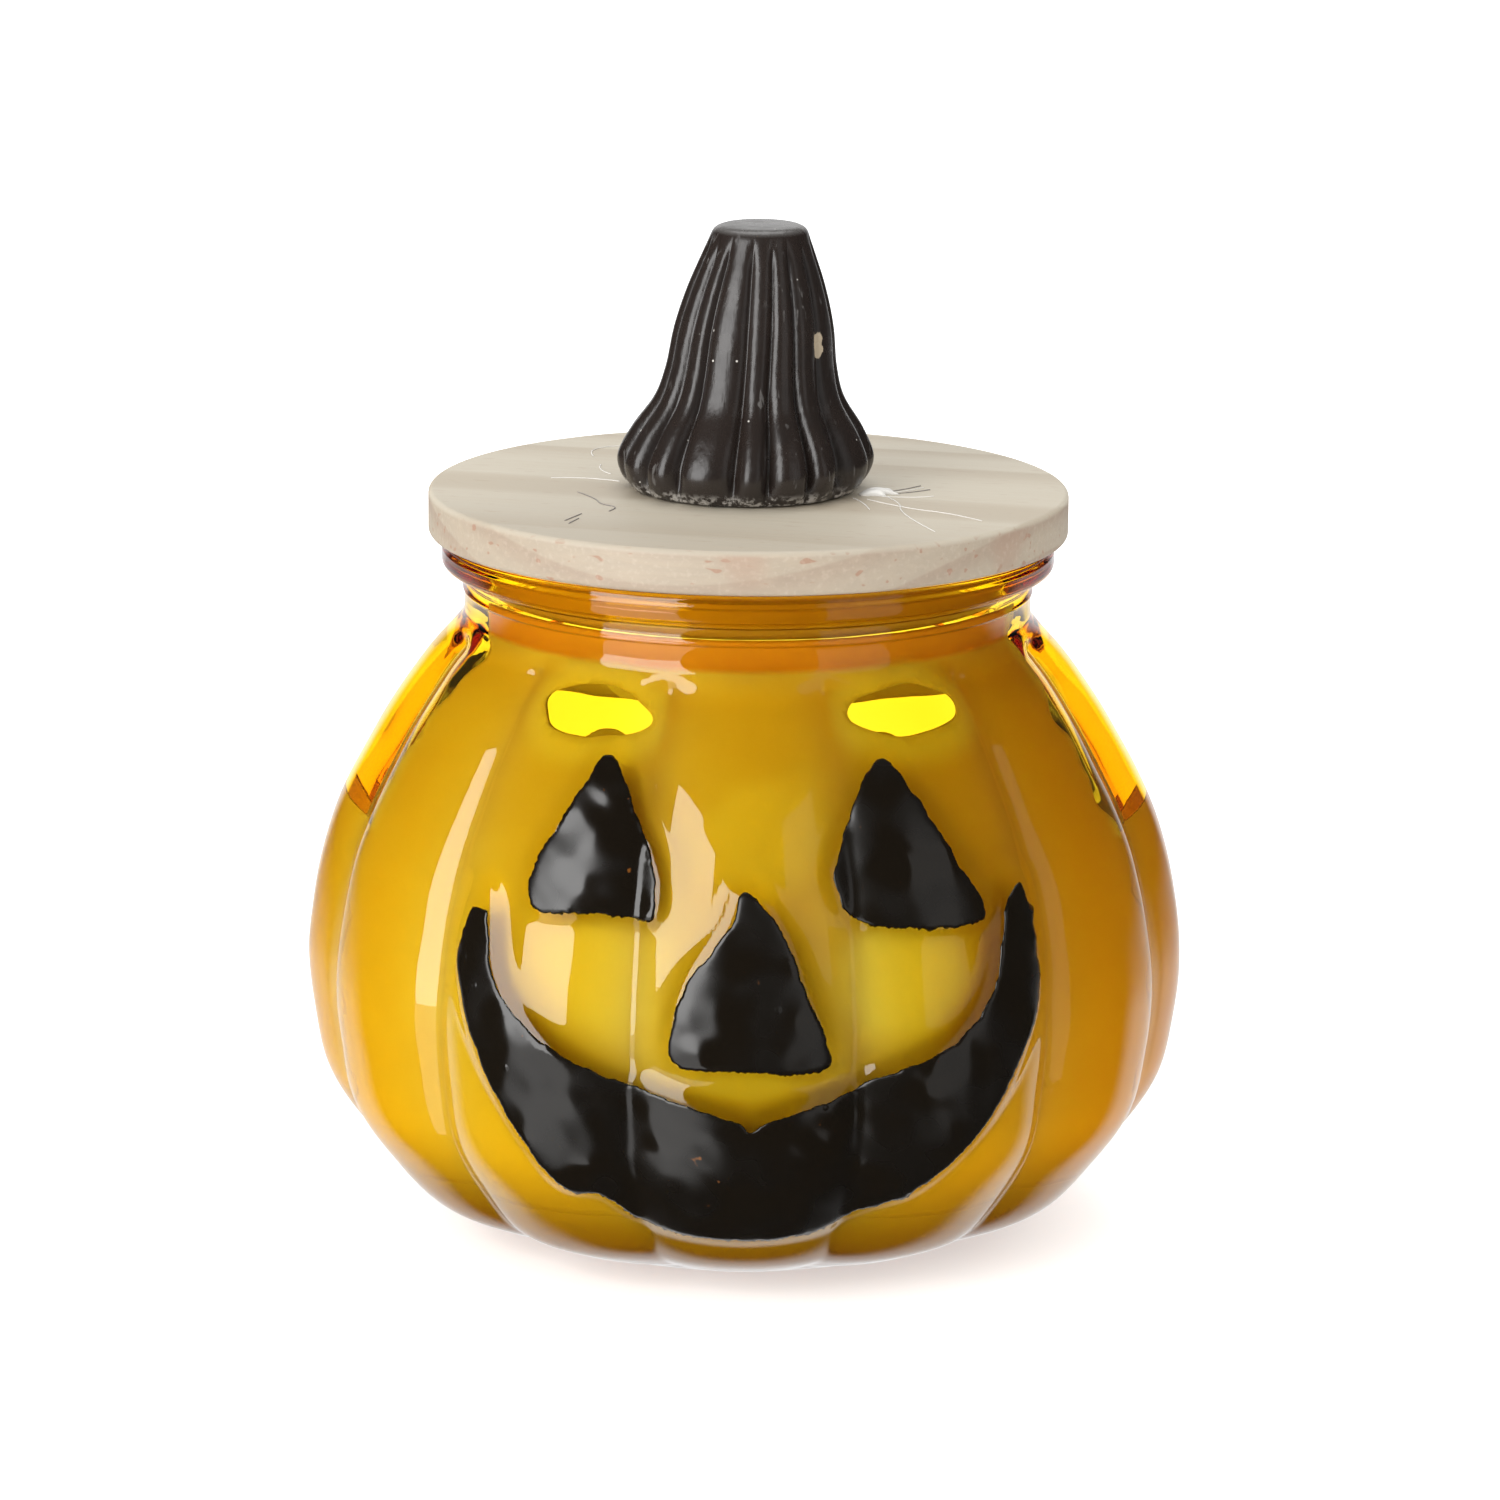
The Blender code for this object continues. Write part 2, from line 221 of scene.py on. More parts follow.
# %% [markdown]
# ## Finishes
# Every finish starts from the Principled shader, which covers glass, wax, wood and paint alike. Its
# colours come from noise and ramps rather than from pictures, so they stay sharp at any distance.
# They read object coordinates, in metres, so a pattern's size is a real size.

# %% Helpers for materials
def new_material(name, **inputs):
    """A material with a Principled shader, whose sockets are set by name."""
    material = bpy.data.materials.new(name)
    material.use_nodes = True
    shader = material.node_tree.nodes["Principled BSDF"]
    for key, value in inputs.items():
        shader.inputs[key.replace("_", " ")].default_value = value
    return material, material.node_tree, shader


def plain(colour):
    """A colour with its alpha."""
    return (*colour, 1)


def object_place(tree):
    """Coordinates in metres that stay with the piece when it moves."""
    return add(tree, "ShaderNodeTexCoord").outputs["Object"]


def noise(tree, place, scale, detail=2.0, rough=0.5):
    """Soft random patches from 0 to 1, about 1 / scale metres apart."""
    return add(tree, "ShaderNodeTexNoise", {
        "Vector": place, "Scale": scale, "Detail": detail, "Roughness": rough,
    }).outputs[0]


def blend(tree, share, first, second):
    """Mixes two colours, given as values or sockets."""
    node = add(tree, "ShaderNodeMix", {0: share}, data_type="RGBA")
    for key, colour in ((6, first), (7, second)):
        if isinstance(colour, bpy.types.NodeSocket):
            tree.links.new(colour, node.inputs[key])
        else:
            node.inputs[key].default_value = plain(colour)
    return node.outputs[2]


def coloured(tree, shader, colour):
    """Gives the shader a base colour that comes from nodes."""
    tree.links.new(colour, shader.inputs["Base Color"])


def bumped(tree, shader, height, strength, distance):
    """Tilts the surface as if it rose and fell with height."""
    bump = add(tree, "ShaderNodeBump", {"Height": height, "Strength": strength, "Distance": distance})
    tree.links.new(bump.outputs[0], shader.inputs["Normal"])


print("material helpers ready")

# %% [markdown]
# ## Floor
# A sheet of white paper under the jar. A studio lights it from below or burns it out, and a little
# glow of its own does the same here. It leaves the jar's reflections alone, so the streaks stay clean.

# %% Floor
FLOOR_SIZE = 8.0
FLOOR_GLOW = 0.5
floor_mesh = bpy.data.meshes.new("floor")
half = FLOOR_SIZE / 2
floor_mesh.from_pydata(
    [(-half, -half, 0), (half, -half, 0), (half, half, 0), (-half, half, 0)], [], [(0, 1, 2, 3)])
floor = bpy.data.objects.new("floor", floor_mesh)
bpy.context.scene.collection.objects.link(floor)
floor.location.z = cad_box[0].z - 0.1 * MM
floor.visible_glossy = False
floor_paint, tree, shader = new_material("floor_paint", Roughness=0.6)
shader.inputs["Base Color"].default_value = plain((0.9, 0.9, 0.9))
shader.inputs["Emission Color"].default_value = plain((1, 1, 1))
shader.inputs["Emission Strength"].default_value = FLOOR_GLOW
floor.data.materials.append(floor_paint)
print("floor is", FLOOR_SIZE, "m square")

# %% [markdown]
# ## Shapes that follow a rule
# Most pieces here are turned: an outline of radius and height is spun about the upright axis.
# The outline runs down the outer side, which makes the faces point out.
# A few chosen points are joined by a smooth curve, and the curve is cut into even steps. The Screw
# modifier could spin it too, but plain code keeps the rings in a known order, and the wall and the
# face need that.

# %% Outlines
def curve_through(points, steps, closed=False):
    """A smooth curve that passes through each of the points given."""
    points = np.asarray(points, float)
    before, after = (points[-1:], points[:2]) if closed else (points[:1], points[-1:])
    ends = np.vstack([before, points, after])
    t = (np.arange(steps) / steps)[:, None]
    spans = [
        0.5 * (2 * b + (c - a) * t + (2 * a - 5 * b + 4 * c - d) * t ** 2
               + (3 * b - a - 3 * c + d) * t ** 3)
        for a, b, c, d in zip(ends, ends[1:], ends[2:], ends[3:])
    ]
    return np.vstack(spans if closed else [*spans, points[-1:]])


def even_steps(outline, spacing, closed=False):
    """The same outline with its points an even distance apart."""
    outline = np.asarray(outline, float)
    if closed:
        outline = np.vstack([outline, outline[:1]])
    length = np.append(0, np.cumsum(np.linalg.norm(np.diff(outline, axis=0), axis=1)))
    count = max(int(round(length[-1] / spacing)), 2)
    at = np.linspace(0, length[-1], count + 1)
    even = np.column_stack([np.interp(at, length, outline[:, i]) for i in range(2)])
    return even[:-1] if closed else even


def arc(centre_r, centre_z, radius, start, end, steps=5):
    """Points on an arc of a turned outline, with its angles in degrees."""
    turns = np.radians(np.linspace(start, end, steps + 1))
    return [(centre_r + radius * math.cos(t), centre_z + radius * math.sin(t)) for t in turns]


def moved_out(outline, distance):
    """The outline moved out along its normals."""
    outline = np.asarray(outline, float)
    along = np.gradient(outline, axis=0)
    along /= np.linalg.norm(along, axis=1)[:, None]
    return outline + distance * np.column_stack([-along[:, 1], along[:, 0]])


print("outline helpers ready")

# %% [markdown]
# ## Meshes from points
# Two kinds of body come up again and again: an outline turned about the axis, and a thin sheet with
# a top, a bottom and a rim. Both are closed, as a real piece is, so light that enters also leaves.

# %% Turned meshes and closed sheets
def new_object(name, points, faces):
    """A smooth-shaded mesh object."""
    mesh = bpy.data.meshes.new(name)
    mesh.from_pydata(np.asarray(points, float).tolist(), [], faces)
    mesh.validate()
    mesh.shade_smooth()
    obj = bpy.data.objects.new(name, mesh)
    bpy.context.scene.collection.objects.link(obj)
    return obj


def turned(name, outline, angles, shares=None, ring=False):
    """Spins (radius, height) points about Z. Points on the axis become poles."""
    rows, points, faces = [], [], []
    for radius, height in outline:
        first = len(points)
        if radius < 1e-7:
            points.append((0, 0, height))
            rows.append([first] * len(angles))
        else:
            points += [(radius * math.sin(a), -radius * math.cos(a), height) for a in angles]
            rows.append(list(range(first, first + len(angles))))
    if ring:
        rows.append(rows[0])
    for upper, lower in zip(rows, rows[1:]):
        around = zip(upper, lower, lower[1:] + lower[:1], upper[1:] + upper[:1])
        for a, b, c, d in around:
            face = [a, b, c, d]
            if a == d:
                face = [a, b, c]
            elif b == c:
                face = [a, b, d]
            faces.append(face)
    obj = new_object(name, points, faces)
    if shares is not None:
        layer = obj.data.attributes.new("share", "FLOAT", "POINT")
        values = np.zeros(len(points))
        for row, share in zip(rows, shares):
            values[row] = share
        layer.data.foreach_set("value", values)
    return obj


def closed_sheet(name, top, bottom, faces):
    """A closed body from two layers of points that share the same faces."""
    count = len(top)
    sides = {}
    for face in faces:
        for a, b in zip(face, face[1:] + face[:1]):
            sides[(a, b)] = True
    rim = [[b, a, a + count, b + count] for a, b in sides if (b, a) not in sides]
    lower = [[i + count for i in reversed(face)] for face in faces]
    sheet = new_object(name, np.vstack([top, bottom]), faces + lower + rim)
    shape = bmesh.new()
    shape.from_mesh(sheet.data)
    bmesh.ops.recalc_face_normals(shape, faces=shape.faces)
    shape.to_mesh(sheet.data)
    shape.free()
    return sheet


print("mesh helpers ready")

# %% [markdown]
# ## Unevenness
# Nothing made by hand or poured is quite even. The same few waves, at different sizes, bend the glass,
# fray the enamel and lump the glue. Each use gives a fixed seed, so it comes out the same every time.

# %% Angles, soft steps and waves
def even_angles(count):
    """Angles all round the axis, the same distance apart."""
    return [2 * math.pi * i / count for i in range(count)]


def ease(value, low, high):
    """0 below low, 1 above high and a soft step between them."""
    t = np.clip((np.asarray(value, float) - low) / (high - low), 0, 1)
    return t * t * (3 - 2 * t)


def ripples(points, size, seed, count=12):
    """Smooth random waves about as long as size, from about -1 to 1."""
    draw = np.random.default_rng(seed)
    total = np.zeros(len(points))
    for _ in range(count):
        way = draw.normal(size=points.shape[1])
        way *= draw.uniform(0.6, 1.4) / (size * np.linalg.norm(way))
        total += np.cos(2 * math.pi * (points @ way) + draw.uniform(0, 2 * math.pi))
    return total / math.sqrt(count)


def get_points(obj):
    """The mesh's points, as rows of x, y and z."""
    points = np.zeros(len(obj.data.vertices) * 3)
    obj.data.vertices.foreach_get("co", points)
    return points.reshape(-1, 3)


def get_normals(obj):
    """The way the surface faces at each point."""
    normals = np.zeros(len(obj.data.vertices) * 3)
    obj.data.vertices.foreach_get("normal", normals)
    return normals.reshape(-1, 3)


def set_points(obj, points):
    """Moves the mesh's points to new places."""
    obj.data.vertices.foreach_set("co", np.asarray(points, np.float32).ravel())
    obj.data.update()


print("waves drawn with seed 1 start at", round(ripples(np.zeros((1, 3)), 1.0, 1)[0], 3))

# %% [markdown]
# ## Lobes by Geometry Nodes
# The jar's lobes and the stem's ribs follow one rule: valleys are pressed into a turned shape at
# angles about its axis. One node tree makes both, with the count, depth, sharpness and wander of the
# valleys as its inputs. A point attribute called share says how far the rule acts on each ring.
# Moving the points by hand would do for one shape, but not for two that differ in every number.

# %% The lobing tree
def new_tree(name, sockets):
    """A Geometry Nodes tree with named inputs, and its group input and output nodes."""
    made = bpy.data.node_groups.new(name, "GeometryNodeTree")
    made.interface.new_socket("Geometry", in_out="OUTPUT", socket_type="NodeSocketGeometry")
    for label, kind in sockets.items():
        made.interface.new_socket(label, in_out="INPUT", socket_type="NodeSocket" + kind)
    return made, made.nodes.new("NodeGroupInput").outputs


def finish_tree(made, geometry, material):
    """Ends a tree in Realize Instances and Set Material."""
    real = add(made, "GeometryNodeRealizeInstances", {0: geometry})
    shown = add(made, "GeometryNodeSetMaterial", {"Geometry": real.outputs[0], "Material": material})
    made.links.new(shown.outputs[0], made.nodes.new("NodeGroupOutput").inputs[0])


def lobing_tree():
    """Presses valleys into a turned shape."""
    made, given = new_tree("press_lobes", {
        "Geometry": "Geometry", "Lobes": "Float", "Depth": "Float", "Sharpness": "Float",
        "Crease": "Float", "Wander": "Float", "Seed": "Float", "Material": "Material",
    })
    place = add(made, "ShaderNodeSeparateXYZ", {0: add(made, "GeometryNodeInputPosition").outputs[0]})
    x, y, z = place.outputs
    angle = maths(made, "ARCTAN2", x, times(made, y, -1.0))
    around = add(made, "ShaderNodeCombineXYZ", {
        0: maths(made, "SINE", angle), 1: maths(made, "COSINE", angle), 2: times(made, z, 8.0),
    })
    uneven = add(made, "ShaderNodeTexNoise", {
        "Vector": around.outputs[0], "W": given["Seed"], "Scale": 1.7, "Detail": 1.0,
    }, noise_dimensions="4D")
    drift = times(made, maths(made, "SUBTRACT", uneven.outputs[0], 0.5), given["Wander"])
    lobes_per_radian = maths(made, "DIVIDE", given["Lobes"], 2 * math.pi)
    turns = times(made, maths(made, "ADD", angle, drift), lobes_per_radian)
    off = maths(made, "SUBTRACT", turns, maths(made, "ROUND", turns))
    side = times(made, maths(made, "ABSOLUTE", off), 2.0)
    past = maths(made, "SUBTRACT", side, maths(made, "SUBTRACT", 1.0, given["Crease"]))
    over = maths(made, "MAXIMUM", past, 0.0)
    rounding = maths(made, "DIVIDE", given["Sharpness"], times(made, given["Crease"], 2.0))
    curve = maths(made, "POWER", side, given["Sharpness"])
    valley = maths(made, "SUBTRACT", curve, times(made, rounding, times(made, over, over)))
    share = add(made, "GeometryNodeInputNamedAttribute", {"Name": "share"}, data_type="FLOAT").outputs[0]
    pressed = times(made, times(made, valley, share), given["Depth"])
    scale = maths(made, "SUBTRACT", 1.0, pressed)
    moved = add(made, "ShaderNodeCombineXYZ", {
        0: times(made, x, scale), 1: times(made, y, scale), 2: z,
    })
    shaped = add(made, "GeometryNodeSetPosition", {
        "Geometry": given["Geometry"], "Position": moved.outputs[0],
    })
    finish_tree(made, shaped.outputs[0], given["Material"])
    return made


press_lobes = lobing_tree()


def run_tree(obj, nodes, values):
    """Runs the object through a node tree, and keeps the result as its plain mesh."""
    modifier = obj.modifiers.new(nodes.name, "NODES")
    modifier.node_group = nodes
    for socket in nodes.interface.items_tree:
        if socket.in_out == "INPUT" and socket.name in values:
            modifier[socket.identifier] = values[socket.name]
    graph = bpy.context.evaluated_depsgraph_get()
    mesh = bpy.data.meshes.new_from_object(obj.evaluated_get(graph))
    obj.modifiers.remove(modifier)
    obj.data = mesh
    mesh.name = obj.name
    return obj


print("tree inputs:", [s.name for s in press_lobes.interface.items_tree if s.in_out == "INPUT"])

# %% [markdown]
# ## Sizes
# The driving sizes come from the frame's boxes, and the rest stand here by name. The outline of the
# body is kept as shares of its radius and of the height of its shoulder, as a glass maker's drawing
# would give it.

# %% Sizes from the frame
jar_low, jar_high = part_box("glass_jar")
JAR_RADIUS = (jar_high.x - jar_low.x) / 2
RIM_TOP = jar_high.z
lid_low, lid_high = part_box("wood_lid")
LID_RADIUS = (lid_high.x - lid_low.x) / 2
stem_low, stem_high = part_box("stem_knob")
seal_low, seal_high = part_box("seal_ring")
wax_low, wax_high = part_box("candle_wax")
wick_low, wick_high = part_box("wick")

SHOULDER_TOP = 84 * MM
NECK_RADIUS = 38.6 * MM
BEAD_RADIUS = 41.7 * MM
BEAD_BOTTOM = 91.6 * MM
MOUTH_RADIUS = 35 * MM
GLASS_FLOOR = wax_low.z - 0.3 * MM
WALL = 4.5 * MM
LOBES = 12
LOBE_DEPTH = 0.055
LOBE_SHARPNESS = 2.2
CREASE = 0.05
INNER_SHARE = 0.4

BODY_OUTLINE = [
    (0.658, 1.0), (0.738, 0.935), (0.847, 0.815), (0.95, 0.66), (1.0, 0.476), (0.988, 0.34),
    (0.952, 0.24), (0.86, 0.146), (0.765, 0.076), (0.65, 0.037), (0.56, 0.0165), (0.49, 0.0),
]
body_outline = curve_through([(r * JAR_RADIUS, z * SHOULDER_TOP) for r, z in BODY_OUTLINE], 24)
print("jar radius", round(JAR_RADIUS / MM, 2), "mm, rim at", round(RIM_TOP / MM, 2), "mm")

# %% [markdown]
# ## The lobes in numbers
# The face, the enamel and the wax have to lie on the pressed glass. So the lobing tree's rule is
# written once more, as plain functions of height and of the angle about the axis.

# %% The lobes in numbers
def lobe_share(height):
    """How far the lobes are pressed in at each height."""
    foot = ease(height, -1 * MM, 3 * MM)
    neck = ease(height, SHOULDER_TOP - 2.2 * MM, SHOULDER_TOP + 0.6 * MM)
    return foot * (1 - neck)


def valley(angle):
    """0 on a crest and 1 in a valley, as the node tree has it."""
    turns = angle * LOBES / (2 * math.pi)
    side = 2 * np.abs(turns - np.round(turns))
    over = np.maximum(side - (1 - CREASE), 0)
    return side ** LOBE_SHARPNESS - LOBE_SHARPNESS / (2 * CREASE) * over ** 2


def glass_radius(angle, height):
    """The radius of the jar's outside, with its lobes and without its face."""
    radius = np.interp(height, body_outline[::-1, 1], body_outline[::-1, 0])
    return radius * (1 - LOBE_DEPTH * lobe_share(height) * valley(angle))


print("a valley is", round(JAR_RADIUS * LOBE_DEPTH / MM, 1), "mm deep")

# %% [markdown]
# ## The face
# The eyes, nose and mouth are pressed into the mould, so the glass stands proud under the paint
# with soft sloping edges. Each outline is drawn as seen from the front. The distance to it gives
# the height of the glass and, later, the edge of the enamel.

# %% Face outlines, in millimetres: x to the right, z above the table
LEFT_EYE = [
    (-18.4, 74.8), (-20, 72.6), (-23.2, 67.6), (-27, 61.4), (-27.7, 57.4), (-26.2, 56),
    (-19, 56.2), (-12.3, 55.7), (-11.6, 61.2), (-13.8, 68), (-16.5, 74.2),
]
RIGHT_EYE = [
    (16.6, 74.6), (14.4, 71), (12, 64.2), (11.4, 60.6), (14, 55.8), (21.3, 54.7), (30.6, 54.8),
    (28.6, 60), (24.4, 66.5), (20.6, 71.8), (18.4, 74.4),
]
NOSE = [
    (0.3, 60), (-2.3, 54.9), (-7.2, 48.4), (-9.4, 41.5), (-8.4, 37.5), (0, 37.3), (10.2, 36.9),
    (10.2, 42), (8, 47), (5.4, 53.8),
]
MOUTH = [
    (-34.4, 56.7), (-37, 46.5), (-33.3, 33.7), (-26.7, 22.7), (-22.8, 18.5), (-18, 17.6),
    (-12.4, 13.2), (-2.8, 11.5), (8.8, 12.2), (15.9, 15.9), (22.5, 18.8), (31, 26.9),
    (36.8, 37.9), (38.2, 45.8), (36.2, 57), (33.8, 56), (32.2, 46), (27.4, 39.6), (19, 35.7),
    (10.8, 32.4), (3.2, 30.1), (0.8, 28.6), (-0.8, 30.1), (-8.1, 32.3), (-18.5, 35.3),
    (-27, 40), (-32.2, 46.5), (-33.2, 55.8),
]
FEATURES = {"left_eye": LEFT_EYE, "right_eye": RIGHT_EYE, "nose": NOSE, "mouth": MOUTH}
outlines = {
    name: even_steps(curve_through(points, 8, closed=True), 0.5, closed=True) * MM
    for name, points in FEATURES.items()
}
print("outline points:", {name: len(outline) for name, outline in outlines.items()})

# %% [markdown]
# ## The height of the face
# A mould gives each feature a flat top and soft slopes. The distance from a point to the outline
# makes both: it is turned into height by a soft step. Sculpting would do as well, but it couldn't
# follow a change to the outline. The raised glass sits 0.4 mm higher than the paint, as if the brush
# had run a little low.

# %% The height of the face
RELIEF = 1.0 * MM
RELIEF_SLOPE = 2.5 * MM
RELIEF_SHIFT = 0.4 * MM


def depth_inside(points, outline):
    """How far each point lies inside a closed outline, below 0 outside it."""
    starts, ends = outline, np.roll(outline, -1, axis=0)
    along = ends - starts
    nearest = np.full(len(points), np.inf)
    crossings = np.zeros(len(points), int)
    for start, end, way in zip(starts, ends, along):
        offset = points - start
        t = np.clip(offset @ way / (way @ way), 0, 1)
        nearest = np.minimum(nearest, np.linalg.norm(offset - t[:, None] * way, axis=1))
        level = (start[1] > points[:, 1]) != (end[1] > points[:, 1])
        height = np.where(level, (points[:, 1] - start[1]) / (way[1] if way[1] else 1), 0)
        crossings += level & (points[:, 0] < start[0] + height * way[0])
    return np.where(crossings % 2 == 1, nearest, -nearest)


def relief(points):
    """Height of the pressed face over the plain lobes, at (x, z) points seen from the front."""
    height = np.zeros(len(points))
    points = points - (0, RELIEF_SHIFT)
    for outline in outlines.values():
        near = ((points > outline.min(0) - 4 * MM) & (points < outline.max(0) + 4 * MM)).all(1)
        inside = depth_inside(points[near], outline)
        height[near] = np.maximum(height[near], RELIEF * ease(inside, -RELIEF_SLOPE, 0.2 * MM))
    return height


print("the face stands", RELIEF / MM, "mm proud")

# %% [markdown]
# ## Glass
# Amber glass is coloured all through, so it is pale in the thin neck and deep where one looks along
# the wall. A Volume Absorption node does the same: it takes a share of each colour for every
# millimetre of the way. A coloured surface would tint thin and thick glass alike.

# %% Amber glass
amber_glass, tree, shader = new_material("amber_glass", Roughness=0.0, IOR=1.5)
shader.inputs["Transmission Weight"].default_value = 1.0
shader.inputs["Base Color"].default_value = plain((1, 1, 1))
GLASS_DENSITY = 450
GLASS_PASSES = (0.995, 0.902, 0.0)
absorb = add(tree, "ShaderNodeVolumeAbsorption", {
    "Color": plain(GLASS_PASSES), "Density": GLASS_DENSITY,
})
tree.links.new(absorb.outputs[0], tree.nodes["Material Output"].inputs["Volume"])
print("glass absorbs blue at", GLASS_DENSITY, "per metre")

# %% [markdown]
# ## The jar's section
# The section is drawn once, as a glass maker would: the cavity, the mouth, the bead that the lid
# rests on, the neck with its mould ridge, the body and the foot. The wall is the body's outline moved
# in by its thickness, so the two sides stay parallel and the tint stays even. The points are closer
# together round the front, where the face needs a fine mesh.

# %% The jar's outline
FRONT_HALF = math.radians(50)
front = np.arange(-FRONT_HALF, FRONT_HALF, math.radians(0.55))
back = np.arange(FRONT_HALF, 2 * math.pi - FRONT_HALF - 0.01, math.radians(2))
jar_angles = [*front, *back]


def cavity_outline(overlap=0.0):
    """The inside of the wall from the mouth down to the glass floor."""
    wall = moved_out(body_outline, overlap - WALL)
    keep = (wall[:, 1] > GLASS_FLOOR + 4 * MM) & (wall[:, 1] < SHOULDER_TOP - 4 * MM)
    wall = wall[keep & (wall[:, 0] > MOUTH_RADIUS)]
    low = wall[-1][0]
    floor_height = GLASS_FLOOR - overlap
    corner = [
        tuple(wall[-4]), (low - 3.4 * MM, floor_height + 2.3 * MM),
        (low - 7 * MM, floor_height + 0.6 * MM), (low - 12 * MM, floor_height),
    ]
    return np.vstack([wall[:-4], curve_through(corner, 6)])


def jar_outline():
    """The whole section from the glass floor round to the foot, and which points are inside."""
    inside = even_steps(cavity_outline(), 1.8 * MM)[::-1]
    ridge = 0.25 * MM
    mouth = [
        (MOUTH_RADIUS, SHOULDER_TOP + 1 * MM),
        *[(MOUTH_RADIUS, z * MM) for z in (88, 91, 94)],
        *arc(MOUTH_RADIUS + 1 * MM, RIM_TOP - 1 * MM, 1 * MM, 180, 90),
    ]
    bead = [
        (BEAD_RADIUS - 2.4 * MM, RIM_TOP),
        *arc(BEAD_RADIUS - 1.2 * MM, RIM_TOP - 1.0 * MM, 0.9 * MM, 80, 0),
        (BEAD_RADIUS - 0.32 * MM, 94.55 * MM), (BEAD_RADIUS, 94.35 * MM),
        (BEAD_RADIUS - 0.05 * MM, 94.1 * MM), (BEAD_RADIUS, 93.4 * MM),
        *arc(BEAD_RADIUS - 0.9 * MM, 92.7 * MM, 0.9 * MM, 0, -75),
        (NECK_RADIUS + 0.7 * MM, BEAD_BOTTOM - 0.1 * MM),
        (NECK_RADIUS + 0.1 * MM, BEAD_BOTTOM - 0.6 * MM),
        (NECK_RADIUS, 90.4 * MM), (NECK_RADIUS, 89.1 * MM),
        (NECK_RADIUS + 0.1 * MM, 88.85 * MM), (NECK_RADIUS + ridge, 88.65 * MM),
        (NECK_RADIUS + 0.1 * MM, 88.45 * MM), (NECK_RADIUS, 88.2 * MM),
        (NECK_RADIUS, 86.9 * MM), (NECK_RADIUS, 85.9 * MM), (NECK_RADIUS + 0.1 * MM, 85.1 * MM),
        (NECK_RADIUS + 0.4 * MM, 84.5 * MM),
    ]
    body = even_steps(body_outline, 0.62 * MM)
    foot = [
        (26 * MM, 0), (22.5 * MM, 0), (21.5 * MM, 0.3 * MM), (20.3 * MM, 1.0 * MM), (19 * MM, 1.2 * MM),
        (10 * MM, 1.2 * MM), (0, 1.2 * MM),
    ]
    middle = [(0, GLASS_FLOOR), (12 * MM, GLASS_FLOOR)]
    outline = np.vstack([middle, inside, mouth, bead, body, foot])
    first_outside = len(middle) + len(inside) + len(mouth)
    inner = np.arange(len(outline)) < first_outside
    return outline, inner


outline, inner = jar_outline()
print("the section has", len(outline), "points")

# %% [markdown]
# ## The jar
# The section is spun, the lobing tree presses it, and the face is raised on the front. Pressed glass
# is never quite even, so both sides get slow waves of a few hundredths of a millimetre. They are
# what bends the streaks of light, and a bump map would miss the inside of the wall.

# %% The jar
shares = lobe_share(outline[:, 1]) * np.where(inner, INNER_SHARE, 1.0)
shares *= ease(outline[:, 0], 14 * MM, MOUTH_RADIUS)
jar_glass = turned("jar_glass", outline, jar_angles, shares)
points_in_row = np.where(outline[:, 0] < 1e-7, 1, len(jar_angles))
is_outside = np.repeat(np.where(inner, 0.0, 1.0), points_in_row)
run_tree(jar_glass, press_lobes, {
    "Lobes": LOBES, "Depth": LOBE_DEPTH, "Sharpness": LOBE_SHARPNESS, "Crease": CREASE, "Wander": 0.0,
    "Seed": 0.0, "Material": amber_glass,
})
points = get_points(jar_glass)
front_points = (is_outside > 0.5) & (points[:, 1] < 0) & (points[:, 2] < SHOULDER_TOP)
raised = np.zeros(len(points))
raised[front_points] = relief(points[front_points][:, [0, 2]])
radius = np.linalg.norm(points[:, :2], axis=1)
raised = raised / np.maximum(radius, MM)
points[:, :2] *= (1 + raised)[:, None]
set_points(jar_glass, points)
OUTER_WAVE, INNER_WAVE = 0.03 * MM, 0.05 * MM
wavy = np.where(is_outside > 0.5, OUTER_WAVE, INNER_WAVE) * ripples(points, 11 * MM, 4)
wavy *= ease(points[:, 2], 1 * MM, 6 * MM) * (1 - ease(points[:, 2], SHOULDER_TOP, 92 * MM))
set_points(jar_glass, points + get_normals(jar_glass) * wavy[:, None])
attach(jar_glass, "jar")
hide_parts("glass_jar")
print("jar_glass has", len(jar_glass.data.polygons), "faces")

# %% [markdown]
# ## Enamel
# The black is thick, glossy paint, brushed on by hand. The brush leaves it a little uneven, a few
# trapped bubbles stand up in it, and here and there it is thin enough to look brown. Noise makes the
# strokes and the thin spots, and a cell texture picks a few of its cells for the bubbles.

# %% Black enamel
black_enamel, tree, shader = new_material("black_enamel", IOR=1.5)
place = object_place(tree)
thin = ramp(tree, noise(tree, place, 420.0), 0.74, 0.8)
coloured(tree, shader, blend(tree, thin, (0.005, 0.0035, 0.002), (0.12, 0.04, 0.005)))
cells = add(tree, "ShaderNodeTexVoronoi", {"Vector": place, "Scale": 170.0})
chosen = add(tree, "ShaderNodeSeparateColor", {0: cells.outputs["Color"]}).outputs[0]
round_spot = ramp(tree, cells.outputs["Distance"], 0.11, 0.03)
bubble = times(tree, round_spot, ramp(tree, chosen, 0.55, 0.57))
brushed = noise(tree, place, 150.0, 1.0)
surface = maths(tree, "ADD", times(tree, bubble, 1.3), brushed)
bumped(tree, shader, surface, 0.35, 0.3 * MM)
tree.links.new(ramp(tree, brushed, 0.35, 0.65, 0.1, 0.3), shader.inputs["Roughness"])
print("enamel nodes:", len(tree.nodes))

